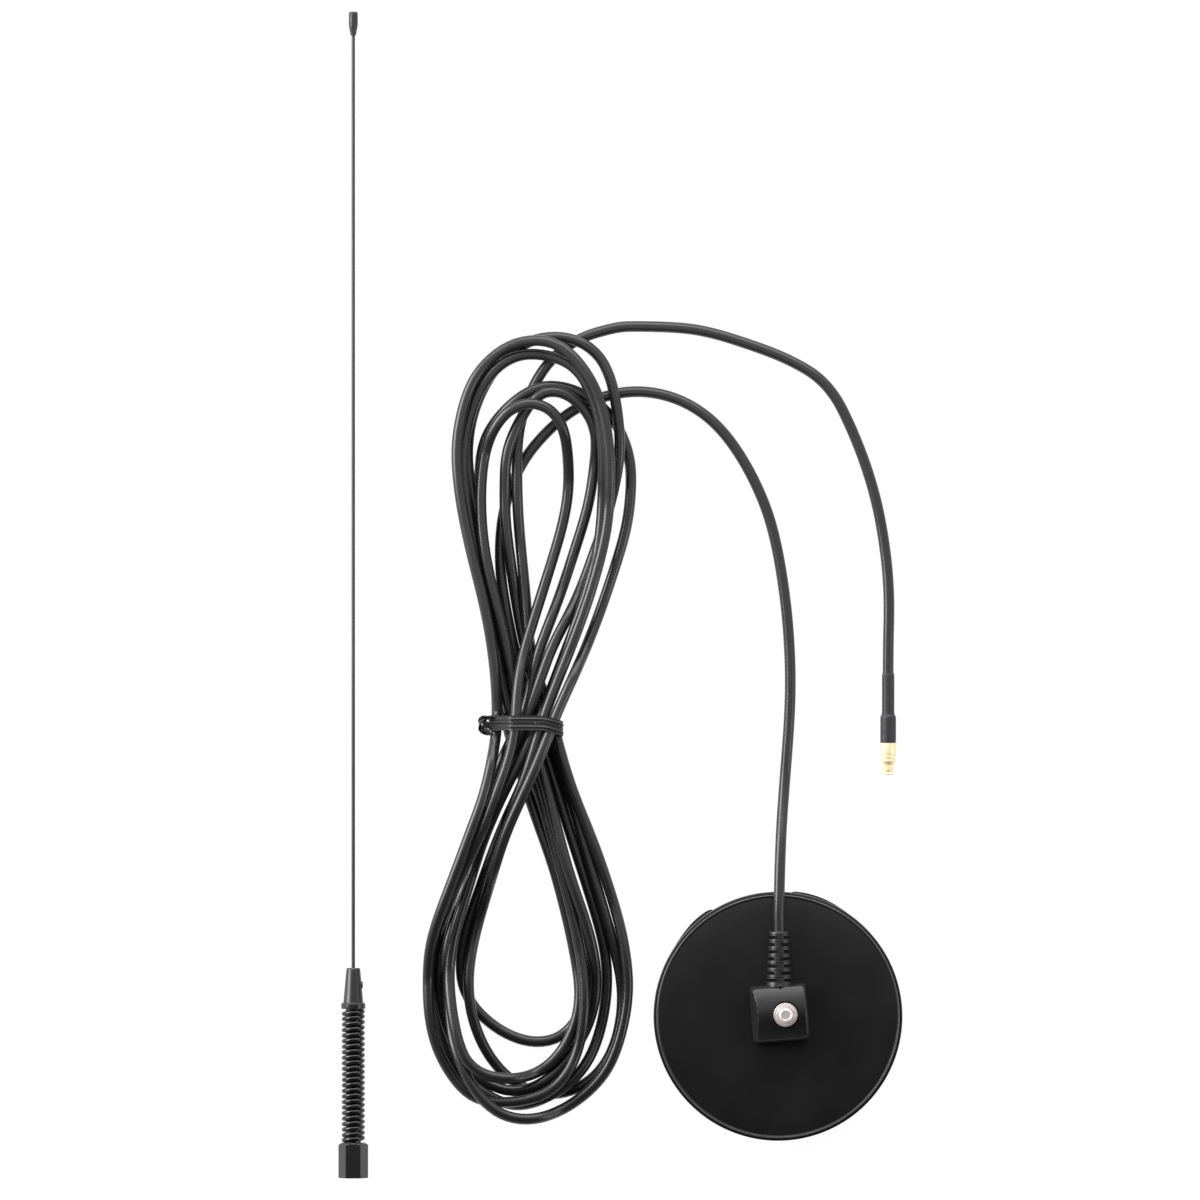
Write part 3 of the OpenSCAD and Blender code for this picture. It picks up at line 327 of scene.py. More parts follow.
# ------------------------------------------------------------------ mesh helpers
# (first direction across, second across, along) for a turning axis
AXES = {"z": np.eye(3), "y": np.eye(3)[[0, 2, 1]]}


def angles(count):
    return np.arange(count) * 2 * PI / count


def ring(angle, radius, height, at, along):
    """points round an axis; radius and height are numbers or one value for each angle"""
    first, second, axis = AXES[along]
    return (np.array(at, float) + np.outer(radius * np.cos(angle), first)
            + np.outer(radius * np.sin(angle), second) + np.outer(height, axis))


def skin(name, rings, material, closed=False, sharp=35.0):
    """object of quads between rings of equal count; unless closed, both ends are capped"""
    count, size = len(rings), len(rings[0])
    faces = []
    for i in range(count if closed else count - 1):
        a, b = i * size, (i + 1) % count * size
        for j in range(size):
            k = (j + 1) % size
            faces.append((a + j, a + k, b + k, b + j))
    if not closed:
        faces.append(tuple(range(size))[::-1])
        faces.append(tuple((count - 1) * size + j for j in range(size)))
    mesh = bpy.data.meshes.new(name)
    mesh.from_pydata((np.vstack(rings) / 1000.0).tolist(), [], faces)
    mesh.validate()
    bm = bmesh.new()
    bm.from_mesh(mesh)
    bmesh.ops.recalc_face_normals(bm, faces=bm.faces)
    bm.to_mesh(mesh)
    bm.free()
    mesh.polygons.foreach_set("use_smooth", [True] * len(mesh.polygons))
    mesh.set_sharp_from_angle(angle=math.radians(sharp))
    ob = bpy.data.objects.new(name, mesh)
    bpy.context.scene.collection.objects.link(ob)
    mesh.materials.append(MATERIALS[material])
    return ob


def lathe(name, profile, material, segments, at=(0, 0, 0), along="z", shape=None,
          sharp=35.0, closed=True):
    """profile of (radius, height) turned about an axis
    shape(radius, angle, height) may change the radius of each ring; closed joins last to first
    """
    angle = angles(segments)
    rings = []
    for radius, height in profile:
        radii = np.full(segments, max(radius, 1e-4))
        if shape:
            radii = shape(radii, angle, height)
        rings.append(ring(angle, radii, height, at, along))
    return skin(name, rings, material, closed, sharp)


def rounded(corners, radius, steps=4):
    """open profile with its corners turned into arcs, as far as the neighbours leave room"""
    corners = [np.array(p, float) for p in corners]
    out = [corners[0]]
    for before, corner, after in zip(corners[:-2], corners[1:-1], corners[2:]):
        back, ahead = before - corner, after - corner
        back_len, ahead_len = np.linalg.norm(back), np.linalg.norm(ahead)
        back, ahead = back / back_len, ahead / ahead_len
        angle = math.acos(max(-1, min(1, float(back @ ahead))))
        if angle > math.radians(172):      # all but straight
            out.append(corner)
            continue
        reach = min(radius / math.tan(angle / 2), back_len * 0.45, ahead_len * 0.45)
        start, end = corner + back * reach, corner + ahead * reach
        for i in range(steps + 1):
            t = i / steps
            out.append((1 - t) ** 2 * start + 2 * t * (1 - t) * corner + t * t * end)
    out.append(corners[-1])
    return out


def rounded_loop(corners, radius, steps=4):
    """the same for a closed profile, whose first corner stays sharp"""
    return rounded(corners + corners[:1], radius, steps)[:-1]


def tube(name, points, first, second, radius, segments, material, sharp):
    """round tube along points; first and second span its section at each of them"""
    angle = angles(segments)
    rings = [p + radius * (np.outer(np.cos(angle), u) + np.outer(np.sin(angle), v))
             for p, u, v in zip(points, first, second)]
    return skin(name, rings, material, sharp=sharp)


def unit(rows):
    return rows / np.linalg.norm(rows, axis=1)[:, None]


def section_frames(points):
    """two directions across the path at each point, carried along it without twist"""
    tangent = unit(np.gradient(points, axis=0))
    first = np.zeros_like(points)
    u = np.cross([0, 0, 1], tangent[0])
    first[0] = u / np.linalg.norm(u)
    for i in range(1, len(points)):
        u = first[i - 1] - tangent[i] * (first[i - 1] @ tangent[i])
        first[i] = u / np.linalg.norm(u)
    return first, np.cross(tangent, first)


def run_length(points):
    return np.r_[0, np.cumsum(np.linalg.norm(np.diff(points, axis=0), axis=1))]


def span(points, i):
    """ends of span i with a neighbour on each side, mirrored where the run stops"""
    b, c = points[i], points[i + 1]
    a = points[i - 1] if i else 2 * b - c
    d = points[i + 2] if i < len(points) - 2 else 2 * c - b
    return a, b, c, d


def catmull(a, b, c, d, t):
    """centripetal curve from b to c"""
    d1, d2, d3 = (math.sqrt(max(1e-9, np.linalg.norm(x))) for x in (b - a, c - b, d - c))
    m1 = (c - b) + d2 * ((b - a) / d1 - (c - a) / (d1 + d2))
    m2 = (c - b) + d2 * ((d - c) / d3 - (d - b) / (d2 + d3))
    return ((2 * t**3 - 3 * t * t + 1) * b + (t**3 - 2 * t * t + t) * m1
            + (3 * t * t - 2 * t**3) * c + (t**3 - t * t) * m2)


def smooth_path(points, count):
    """curve through the points, in about count steps shared evenly among the spans"""
    points = np.asarray(points, float)
    steps = count // (len(points) - 1)
    out = [catmull(*span(points, i), j / steps)
           for i in range(len(points) - 1) for j in range(steps)]
    return np.array(out + [points[-1]])


def thread_wave(distance, angle, pitch=1.0):
    """0 to 1 across each turn of a thread"""
    phase = (distance / pitch - angle / (2 * PI)) % 1.0
    return np.clip(np.abs(phase - 0.5) * 3 - 0.25, 0, 1)


def place(ob, body, replaces=()):
    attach(ob, body)
    if replaces:
        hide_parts(*replaces)


# ------------------------------------------------------------------ magnet base
def magnet_cup():
    # (distance in from the wall, z): up the wall, then over the rim bead
    wall_and_bead = [
        (0, 1.15), (0, 9.0), (0.05, 9.25), (0.16, 9.4), (0.34, 9.45), (1.0, 9.47),
        (1.04, 9.6), (1.06, 9.9), (1.1, 10.2), (1.25, 10.45), (1.5, 10.55), (1.75, 10.5),
        (1.95, 10.36), (2.15, 10.3), (2.5, 10.32), (4, 10.42), (8, DECK_Z)]
    profile = [(BASE_R - inset, z) for inset, z in wall_and_bead]
    profile += [(radius, DECK_Z) for radius in (34, 26, 18, 10, 4.5)]
    inner = BASE_R - 1.2
    profile += [(4.5, 9.3), (20, 9.3), (inner - 1.8, 9.3), (inner - 1.2, 9.1),
                (inner - 0.4, 8.5), (inner, 7.6), (inner, 1.15)]
    cup = lathe("magnet_cup", profile, "cup_paint", segments=256, sharp=50)
    place(cup, "base", ["base_cup"])


def rim_edge():
    """painted highlight: a lighter line round the crest of the rim bead"""
    # (distance in from the cup's wall, z)
    section = [(1.08, 10.3), (1.22, 10.50), (1.40, 10.60), (1.58, 10.58), (1.68, 10.50),
               (1.4, 10.3)]
    profile = [(BASE_R - inset, z) for inset, z in section]
    # painted highlight on the crest of the bead
    line = lathe("rim_edge", profile, "painted_rim_highlight", segments=256, sharp=80)
    place(line, "base", ())


def base_pad():
    """pad under the cup; two ears stand out past the rim, on either side of the cable"""
    angle = angles(360)

    def ear(start, end, height):
        t = np.clip((angle - math.radians(start)) / math.radians(end - start), 0, 1)
        return height * np.sin(PI * t ** 0.42) ** 0.8

    radius = (49.35 + ear(start=121.5, end=150, height=1.45) + ear(start=84, end=52, height=1.15)
              + 0.10 * np.sin(7 * angle + 1) + 0.06 * np.sin(17 * angle))
    # (growth of the outline, z)
    edge = [(-0.25, 0.0), (-0.05, 0.04), (0, 0.18), (0, 0.6), (-0.05, 0.74), (-0.22, 0.8)]
    rings = [ring(angle, radius + grow, z, (0, 0, 0), "z") for grow, z in edge]
    place(skin("base_pad", rings, "pad_rubber", sharp=60), "base", ["magnet_pad"])


def stud_thread():
    """stud with a thread on its free end, chamfered, with a dished top"""
    thread_from, thread_to, fade = 23.7, 30.0, 0.8
    angle = angles(48)
    # (radius, z) below and above the thread
    shank = [(2.4, 1.6), (2.94, 2.2), (2.94, 23.6)]
    top = [(2.95, 30.1), (2.70, 30.45), (2.35, 30.80), (2.15, 30.95), (2.02, 31.0),
           (1.98, 30.98), (1.93, 30.90), (1.88, 30.88), (1.2, 30.90), (0.01, 30.90)]
    thread = []
    for z in np.arange(thread_from, thread_to + 1e-6, 0.1):
        depth = 0.32 * max(0, min(1, (z - thread_from) / fade, (thread_to - z) / fade))
        thread.append((3.0 - depth * thread_wave(z, angle), z))
    rings = [ring(angle, radius, z, STUD_AT, "z") for radius, z in shank + thread + top]
    stud = skin("stud_thread", rings, "plated_steel", sharp=40)
    place(stud, "base", ["stud"])


def collar_ring():
    # (radius, z)
    flange = [(3.0, 11.3), (5.4, 11.3), (5.4, 12.55), (5.3, 12.65)]
    sleeve = [(3.0, 12.7), (4.72, 12.7), (4.72, 24.55), (3.95, 24.62), (3.02, 23.9)]
    profile = flange + rounded_loop(sleeve, 0.16)[1:]
    collar = lathe("collar_ring", profile, "plated_steel", segments=96, at=STUD_AT)
    place(collar, "base", ["stud_collar"])


# boot: rounded square, turned a little on the deck
BOOT_POINTS = 128
BOOT_CENTRE = np.array([0.6, 1.4])
BOOT_TURN = math.radians(4.5)
BOOT_SPIN = np.array([[math.cos(BOOT_TURN), -math.sin(BOOT_TURN)],
                      [math.sin(BOOT_TURN), math.cos(BOOT_TURN)]])


def boot_outline(half_width, corner=1.6, steps=14):
    """rounded square, its points evenly spread by angle about the middle"""
    half = half_width * 1.035
    points = []
    for quarter in range(4):
        cx = (half - corner) * (1 if quarter in (0, 3) else -1)
        cy = (half - corner) * (1 if quarter in (0, 1) else -1)
        for i in range(steps + 1):
            a = quarter * PI / 2 + i / steps * PI / 2
            points.append((cx + corner * math.cos(a), cy + corner * math.sin(a)))
    points = np.array(points + points[:1])
    a = np.unwrap(np.arctan2(points[:, 1], points[:, 0]))
    even = np.linspace(a[0], a[0] + 2 * PI, BOOT_POINTS, endpoint=False)
    flat = np.c_[np.interp(even, a, points[:, 0]), np.interp(even, a, points[:, 1])]
    return flat @ BOOT_SPIN.T + BOOT_CENTRE


def crown(points):
    """height of the boot's top: arched from front to back, cut off on its left by a slant"""
    x, y = ((points - BOOT_CENTRE) @ BOOT_SPIN).T
    arch = 24.0 - y ** 2 / 34.0 - x ** 2 / 150.0
    return np.minimum(arch, 20.3 + 2.1 * (x + 10.25))


def boot_cover():
    """drafted sides, a soft crease, a crown that closes round to the stud's hole"""
    # (half width, z)
    sides = [(10.9, 10.55), (10.97, 10.9), (10.93, 11.6), (10.8, 14.0), (10.66, 17.0)]
    # (half width, depth below the crown)
    crease = [(10.58, 2.0), (10.5, 1.15), (10.42, 0.72), (10.28, 0.38), (10.08, 0.15),
              (9.85, 0.03), (9.6, 0.0)]
    # (radius, depth below the crown)
    lip = [(5.55, 0.04), (5.43, 0.16), (5.4, 0.5)]
    # (centre x, radius, z): down the hole, then out to the foot
    inside = [(STUD_X, 5.4, 18.0), (STUD_X, 5.4, 13.0), (STUD_X, 6.5, 13.0),
              (1.63, 8.5, 12.9), (1.63, 8.6, 10.55)]
    crown_rings = 24
    rings = [np.c_[boot_outline(half), np.full(BOOT_POINTS, z)] for half, z in sides]
    for half, depth in crease:
        points = boot_outline(half)
        rings.append(np.c_[points, np.maximum(17.2, crown(points) - depth)])
    edge = points
    angle = np.arctan2(edge[:, 1] - STUD_Y, edge[:, 0] - STUD_X)
    hole = ring(angle, 5.7, 0, STUD_AT, "z")[:, :2]
    for k in range(1, crown_rings + 1):
        t = k / crown_rings
        points = edge * (1 - t) + hole * t
        rings.append(np.c_[points, crown(points)])
    for radius, depth in lip:
        points = ring(angle, radius, 0, STUD_AT, "z")[:, :2]
        rings.append(np.c_[points, crown(points) - depth])
    rings += [ring(angle, radius, z, (x, STUD_Y, 0), "z") for x, radius, z in inside]
    boot = skin("boot_cover", rings, "boot_rubber", closed=True, sharp=32)
    place(boot, "base", ["cable_boot"])


def boot_nub():
    """little moulded nub where the strain relief meets the boot"""
    profile = rounded([(0.001, 21.35), (0.75, 21.3), (1.15, 20.9), (1.3, 19.6), (0.001, 19.5)],
                      0.2)
    nub = lathe("boot_nub", profile, "boot_rubber", segments=32, at=(0.8, 12.1, 0), closed=False)
    place(nub, "base", ())


def ribbed_relief():
    """tapered sleeve with slots cut from both sides, reaching further round left and right by turns"""
    start, taper_from, taper_len = 12.0, 12.45, 21.0
    end = start + 22.1
    root_r, tip_r, floor_r = 5.2, 4.05, 2.55
    ribs = 8
    pitch = 21.65 / (ribs - 0.4)
    slot_starts = [taper_from + (i + 0.56) * pitch for i in range(ribs - 1)]
    slots = [(a, a + pitch * 0.46) for a in slot_starts]
    stations = [start]
    for a, b in slots:
        stations += [a - 0.30, a - 0.12, a, a + 0.02, a + 0.14, (a + b) / 2,
                     b - 0.14, b - 0.02, b, b + 0.12, b + 0.30]
    stations += [end - 0.35, end - 0.12, end]

    at = (RELIEF_X, 0, RELIEF_Z)
    angle = angles(120)                # 0 is +X, a quarter turn is up
    side = np.abs(np.cos(angle))       # 1 at the sides, 0 on top and below
    rings = []
    for y in stations:
        outer = root_r + (tip_r - root_r) * max(0, (y - taper_from) / taper_len)
        radius = np.full(len(angle), outer)
        for i, (a, b) in enumerate(slots):
            if a <= y <= b:
                edge = min(1, min(y - a, b - y) / 0.02)
                left, right = (0.20, 0.44) if i % 2 == 0 else (0.44, 0.20)
                limit = np.where(np.cos(angle) > 0, right, left)
                radius = radius - np.clip((side - limit) / 0.06, 0, 1) * edge * (outer - floor_r)
            elif a - 0.13 <= y < a or b < y <= b + 0.13:
                radius = radius - 0.05     # eased rib edge
        if y >= end - 0.13:
            radius = radius - 0.18
        if y >= end:
            radius = radius - 0.12
        rings.append(ring(angle, radius, y, at, "y"))
    bore = [(2.5, end), (2.32, end - 0.15), (2.25, end - 0.6), (2.25, start)]    # (radius, y)
    rings += [ring(angle, radius, y, at, "y") for radius, y in bore]
    relief = skin("ribbed_relief", rings, "boot_rubber", closed=True, sharp=40)
    relief.data.materials.append(MATERIALS["core_sleeve"])      # painted shade: darker, duller finish on the slot floors and bore
    for face in relief.data.polygons:
        c = face.center * 1000
        if math.hypot(c.x - RELIEF_X, c.z - RELIEF_Z) < 3.6 and 12.5 < c.y < 33.4:
            face.material_index = 1
    place(relief, "base", ["strain_relief"])


# ------------------------------------------------------------------ feed cable
def spline(way, step):
    """points about step apart along a run of (x, y, lay), without its last point"""
    out = []
    for i in range(len(way) - 1):
        ends = span(way[:, :2], i)
        count = max(1, int(math.floor(np.linalg.norm(ends[2] - ends[1]) / step + 0.5)))
        for j in range(count):
            t = j / count
            out.append((*catmull(*ends, t), way[i, 2] if t < 0.5 else way[i + 1, 2]))
    return np.array(out)


def ironed(run, share):
    """each point drawn toward the middle of its neighbours, or pushed away if share is negative"""
    out = run.copy()
    out[2:-2, :2] = run[2:-2, :2] * (1 - share) + (run[1:-3, :2] + run[3:-1, :2]) * share / 2
    return out


def cable_plan():
    """the whole cable seen from above, as rows of (x, y, lay)"""
    coil = spline(np.array([(x, y, lay) for lay, points in COIL for x, y in points], float), 7.0)
    for _ in range(5):
        coil = ironed(ironed(coil, 0.5), -0.53)
    head = [(RELIEF_X, 9.6, 0), (RELIEF_X, 22.0, 0), (RELIEF_X, 34.6, 0)]
    way = np.vstack([head, coil[1:], [(x, y, 1) for x, y in LEAD]])
    return np.vstack([spline(way, 2.5), way[-1:]])


def ease(t):
    return (1 - np.cos(PI * np.clip(t, 0, 1))) / 2


def lowest_heights(plan, along):
    """height of the cable's axis where nothing lies beneath it"""
    x, y = plan[:, 0], plan[:, 1]
    low = np.full(len(plan), CABLE_R)
    root = (x > -10) & (y < 100) & (along < 200)         # comes down from the relief
    low[root] = RELIEF_Z + (CABLE_R - RELIEF_Z) * ease((y[root] - 40) / 42)
    coil = x < -70                                       # lies on the tie
    low[coil] = CABLE_R + 0.75 * np.clip((16 - np.abs(y[coil] - 116.8)) / 8, 0, 1)
    tail = (along > along[-1] - 320) & (x > 30)          # rises to the plug
    low[tail] = CABLE_R + (PLUG_Z - CABLE_R) * ease((200 - y[tail]) / 45)
    return low


def crossings(plan, along, gap=4.42):
    """where point `upper` passes over segment `lower`, at `share` of it, needing `clear` height"""
    flat = plan[:, :2]
    starts, steps = flat[:-1], flat[1:] - flat[:-1]
    squared = (steps**2).sum(1)
    upper, lower, share, clear = [], [], [], []
    for i in range(len(plan)):
        t = np.clip(((flat[i] - starts) * steps).sum(1) / squared, 0, 1)
        away = np.hypot(*(starts + steps * t[:, None] - flat[i]).T)
        later = plan[:-1, 2] < plan[i, 2]
        j = np.where(later & (away < gap) & (np.abs(along[:-1] - along[i]) > 26))[0]
        upper += [i] * len(j)
        lower += list(j)
        share += list(t[j])
        clear += list(np.sqrt(gap * gap - away[j] ** 2))
    return np.array(upper), np.array(lower), np.array(share), np.array(clear)


def cable_heights(plan, along):
    low = lowest_heights(plan, along)
    upper, lower, share, clear = crossings(plan, along)

    def sag(distance, bend_radius, slope):
        """drop from a support: an arc first, then a straight slope"""
        arc = bend_radius * slope
        return np.where(distance < arc, distance * distance / (2 * bend_radius),
                        arc * arc / (2 * bend_radius) + slope * (distance - arc))

    def settle(start, rounds, bend_radius, slope, reach):
        """raise the strands over one another, falling away no faster than they can bend"""
        z = start.copy()
        for _ in range(rounds):
            lifted = start.copy()
            np.maximum.at(lifted, upper, z[lower] * (1 - share) + z[lower + 1] * share + clear)
            draped = lifted.copy()
            for k in range(1, reach + 1):
                drop = sag(along[k:] - along[:-k], bend_radius, slope)
                draped[k:] = np.maximum(draped[k:], lifted[:-k] - drop)
                draped[:-k] = np.maximum(draped[:-k], lifted[k:] - drop)
            if np.abs(draped - z).max() < 1e-5:
                return draped
            z = draped
        return z

    z = settle(low, rounds=30, bend_radius=45.0, slope=0.45, reach=14)
    # relax: the strands sink and straighten, pushing each other apart
    sink, stiffness, push_up, push_down = 0.010, 0.30, 0.6, 0.4
    for _ in range(900):
        z = z - sink
        z[1:-1] += stiffness * (0.5 * (z[:-2] + z[2:]) - z[1:-1])
        for _ in range(2):
            overlap = clear - (z[upper] - z[lower] * (1 - share) - z[lower + 1] * share)
            overlap = np.maximum(0, overlap)
            up = np.zeros(len(z))
            down = np.zeros(len(z))
            np.maximum.at(up, upper, overlap * push_up)
            np.maximum.at(down, lower, overlap * push_down * (1 - share))
            np.maximum.at(down, lower + 1, overlap * push_down * share)
            z = np.maximum(z + up - down, low)
    z = settle(z, rounds=60, bend_radius=70.0, slope=0.6, reach=8)
    weights = np.array([1, 2, 3, 2, 1], float)
    weights /= weights.sum()
    return np.convolve(np.pad(z, 2, mode="edge"), weights, mode="valid")


def cable_axis():
    """points of the cable's axis and the distance to each along the plan"""
    plan = cable_plan()
    along = run_length(plan[:, :2])
    return np.c_[plan[:, :2], cable_heights(plan, along)], along


def feed_cable(axis, along):
    """five lengths: loose ones ride a body, and those between stay fixed where they lie"""
    x, y = axis[:, 0], axis[:, 1]

    def first_index(test, start=0):
        return start + int(np.argmax(test[start:]))

    late = first_index(along > along[-1] - 330)
    cuts = [0, first_index(y > 78), first_index(x > -72, late), first_index(x > -22, late),
            first_index((x > 30) & (y < 178), late), len(axis) - 1]
    names = ["cable_root", "cable_loops", "cable_turn", "cable_free", "cable_end"]
    first, second = section_frames(axis)
    pieces = []
    for name, a, b in zip(names, cuts[:-1], cuts[1:]):
        part = slice(a, b + 1)
        piece = tube(name, axis[part], first[part], second[part], CABLE_R, segments=20,
                     material="jacket", sharp=50)
        pieces.append(piece)
    root, loops, turn, free, end = pieces
    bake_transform(root)
    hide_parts("cable_tail")
    place(loops, "cable", ["cable_coil"])
    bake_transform(turn)
    place(free, "lead", ["cable_lead"])
    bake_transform(end)
    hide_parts("plug_tail")


# ------------------------------------------------------------------ twist tie
def hull(points):
    """convex outline of (x, z) points"""
    def chain(run):
        out = []
        for p in run:
            while len(out) > 1 and ((out[-1][0] - out[-2][0]) * (p[1] - out[-2][1])
                                    - (out[-1][1] - out[-2][1]) * (p[0] - out[-2][0])) <= 0:
                out.pop()
            out.append(p)
        return out
    points = sorted(points)
    return np.array(chain(points)[:-1] + chain(points[::-1])[:-1])


def bundle_loop(axis, y_from=111.5, y_to=121.0, grow=0.42, count=240):
    """evenly spaced (x, z) points round the bundled strands, and their outward directions"""
    inside = (axis[:, 1] > y_from) & (axis[:, 1] < y_to) & (axis[:, 0] < -70)
    radius = CABLE_R + grow
    outline = hull([(x + radius * math.cos(a), z + radius * math.sin(a))
                    for x, _, z in axis[inside]
                    for a in np.linspace(0, 2 * PI, 24, endpoint=False)])
    outline = np.vstack([outline, outline[:1]])
    lengths = run_length(outline)
    even = np.linspace(0, lengths[-1], count, endpoint=False)
    loop = np.c_[np.interp(even, lengths, outline[:, 0]), np.interp(even, lengths, outline[:, 1])]
    # start at the left end of the bundle, go over the top to the right and back beneath
    loop = np.roll(loop, -int(np.argmin(loop[:, 0] - 0.25 * loop[:, 1])), axis=0)
    if loop[20, 1] < loop[-20, 1]:
        loop = loop[::-1]
    tangent = np.gradient(loop, axis=0)
    normal = np.c_[tangent[:, 1], -tangent[:, 0]]
    if (normal * (loop - loop.mean(0))).sum() < 0:
        normal = -normal
    loop[:, 1] = np.maximum(loop[:, 1], 0.42)      # stay above the floor
    return loop, unit(normal)


def ribbon(name, path, up, width, ridge, thick=0.34):
    """flat ribbon with a ridge down its middle; up is the outward direction at each point"""
    tangent = unit(np.gradient(path, axis=0))
    normal = unit(up - tangent * (up * tangent).sum(1)[:, None])
    side = np.cross(tangent, normal)
    across = np.array([0.08, 0.20, 0.32, 0.42, 0.62, 0.93, 0.985, 1.0])
    across = np.r_[-across[::-1], across] * width / 2
    top = (thick / 2 + ridge * np.exp(-((across / (width * 0.115)) ** 2))
           + 0.10 * (np.abs(across) > width * 0.44))
    top[0] = top[-1] = 0.02
    under = np.full(len(across), -thick / 2)
    section = list(zip(across, top)) + list(zip(across[::-1], under[::-1]))[1:-1]
    rings = [p + np.array([a * s + b * n for a, b in section])
             for p, s, n in zip(path, side, normal)]
    place(skin(name, rings, "tie_ribbon", sharp=45), "cable",
          ["twist_tie"] if name == "tie_turn_1" else ())


def twist_tie(axis):
    loop, normal = bundle_loop(axis)

    # two turns side by side round the bundle, drooping toward -Y at the right
    x_share = (loop[:, 0] - loop[:, 0].min()) / np.ptp(loop[:, 0])
    droop = -2.2 * np.clip((x_share - 0.72) / 0.28, 0, 1) ** 1.6 + 0.35 * np.sin(x_share * PI)
    up = np.c_[normal[:, 0], np.zeros(len(loop)), normal[:, 1]]
    for k, (y, lift) in enumerate([(118.55, 0.0), (115.45, 0.02)]):
        path = np.c_[loop[:, 0], y + droop, loop[:, 1]] + up * lift
        ribbon(f"tie_turn_{k + 1}", path, up, width=2.8, ridge=0.36)

    # the twist at the left end: two ribbon ends wound round each other in a hook
    corner = np.array([loop[0, 0], 0, loop[0, 1]])
    # (x from the corner, y, z from the corner)
    hook = [(3.4, 120.6, 2.2), (0.6, 119.9, 2.0), (-2.5, 118.9, 1.4), (-3.9, 117.2, 0.8),
            (-3.5, 115.2, 0.5), (-1.1, 113.4, 0.4), (2.1, 112.0, 0.2)]
    centre = smooth_path(corner + np.array(hook), 120)
    first, second = section_frames(centre)
    turns, offset = 1.25, 0.40
    for k in range(2):
        a = (np.linspace(0, turns * 2 * PI, len(centre)) + k * PI)[:, None]
        path = centre + offset * (np.cos(a) * first + np.sin(a) * second)
        up = -np.sin(a) * first + np.cos(a) * second
        ribbon(f"tie_twist_{k + 1}", path, up, width=2.1, ridge=0.34)

    # the cut end of the ribbon, tucked through the loop
    tuck = [(3.0, 115.1, 0.3), (0.9, 115.7, 0.5), (-0.9, 116.4, 0.6), (-2.6, 117.1, 0.6)]
    path = smooth_path(corner + np.array(tuck), 36)
    ribbon("tie_end", path, np.tile([0.0, 0.0, 1.0], (len(path), 1)), width=2.6, ridge=0.34)


# ------------------------------------------------------------------ plug
def wobble(amount, outside):
    """uneven surface for radii greater than outside"""
    phase = rng.uniform(0, 2 * PI, 6)

    def shape(radius, angle, y):
        wave = sum(math.cos(y * (0.9 + 0.7 * i) + phase[i])
                   * np.cos((i + 1) * angle + phase[5 - i]) for i in range(5)) / 5
        return np.where(radius > outside, radius + amount * wave, radius)
    return shape


def plug_part(name, profile, material, segments, replaced, shape=None):
    """profile of (radius, y) turned about the plug's axis"""
    ob = lathe(name, profile, material, segments, at=PLUG_AT, along="y", shape=shape)
    place(ob, "plug", [replaced])


def sleeve_long():
    profile = [(2.24, 120.2), (2.46, 120.2)]
    profile += [(2.49 + (0.05 if abs(y - 121) < 0.5 else 0), y)
                for y in np.linspace(120.5, 136.9, 44)[1:-3]]
    profile += [(2.47, 136.5), (2.40, 136.8), (2.26, 136.95)]
    plug_part("sleeve_long", profile, "shrink_sleeve", 64, "shrink_long",
              shape=wobble(amount=0.035, outside=2.3))


def sleeve_short():
    profile = [(2.80, 109.2), (3.08, 109.2), (3.15, 109.35)]
    profile += [(3.15, y) for y in np.linspace(109.5, 119.0, 30)]
    profile += [(3.12, 119.5), (2.98, 119.9), (2.72, 120.3), (2.60, 120.6), (2.55, 120.8),
                (2.50, 120.8), (2.50, 120.4), (2.82, 119.6)]
    plug_part("sleeve_short", profile, "shrink_sleeve", 64, "shrink_short",
              shape=wobble(amount=0.04, outside=2.9))


def plug_shell():
    corners = [
        (1.5, 100.95), (2.42, 100.95), (2.55, 101.3), (2.95, 101.75), (3.02, 101.9),
        (3.02, 102.62), (2.74, 102.66), (2.74, 103.02), (3.12, 103.06), (3.16, 104.12),
        (2.84, 104.16), (2.84, 104.66), (3.24, 104.7), (3.24, 109.1), (1.75, 109.1),
        (1.75, 118.4), (1.5, 118.4)]
    plug_part("plug_shell", rounded_loop(corners, 0.07, 3), "plug_gold", 96, "plug_body")


def plug_tip_sleeve():
    """contact sleeve slotted into six fingers, with a bulge at the mouth"""
    corners = [
        (1.42, 96.4), (1.75, 96.4), (1.98, 96.62), (2.0, 97.05), (1.84, 97.25), (1.88, 97.6),
        (2.06, 98.2), (2.1, 99.2), (2.1, 100.38), (2.1, 100.42), (2.34, 100.93), (1.42, 100.93)]
    half_slot, slot_end, floor_r = 0.12, 100.4, 1.86

    def fingers(radius, angle, y):
        from_slot = np.abs((angle / (PI / 3) + 0.5) % 1.0 - 0.5) * (PI / 3) * 2.1
        cut = (from_slot < half_slot) & (y < slot_end) & (radius > 1.5)
        return np.where(cut, np.minimum(radius, floor_r), radius)

    plug_part("plug_tip_sleeve", rounded_loop(corners, 0.05, 2), "plug_gold", 192,
              "plug_contact", shape=fingers)


# ------------------------------------------------------------------ whip
NUT_START, NUT_END = -64.7, -50.6
NUT_ACROSS = 12                    # over the corners


def whip_ring(radius, y, count=96):
    return ring(angles(count), radius, y, WHIP_AT, "y")


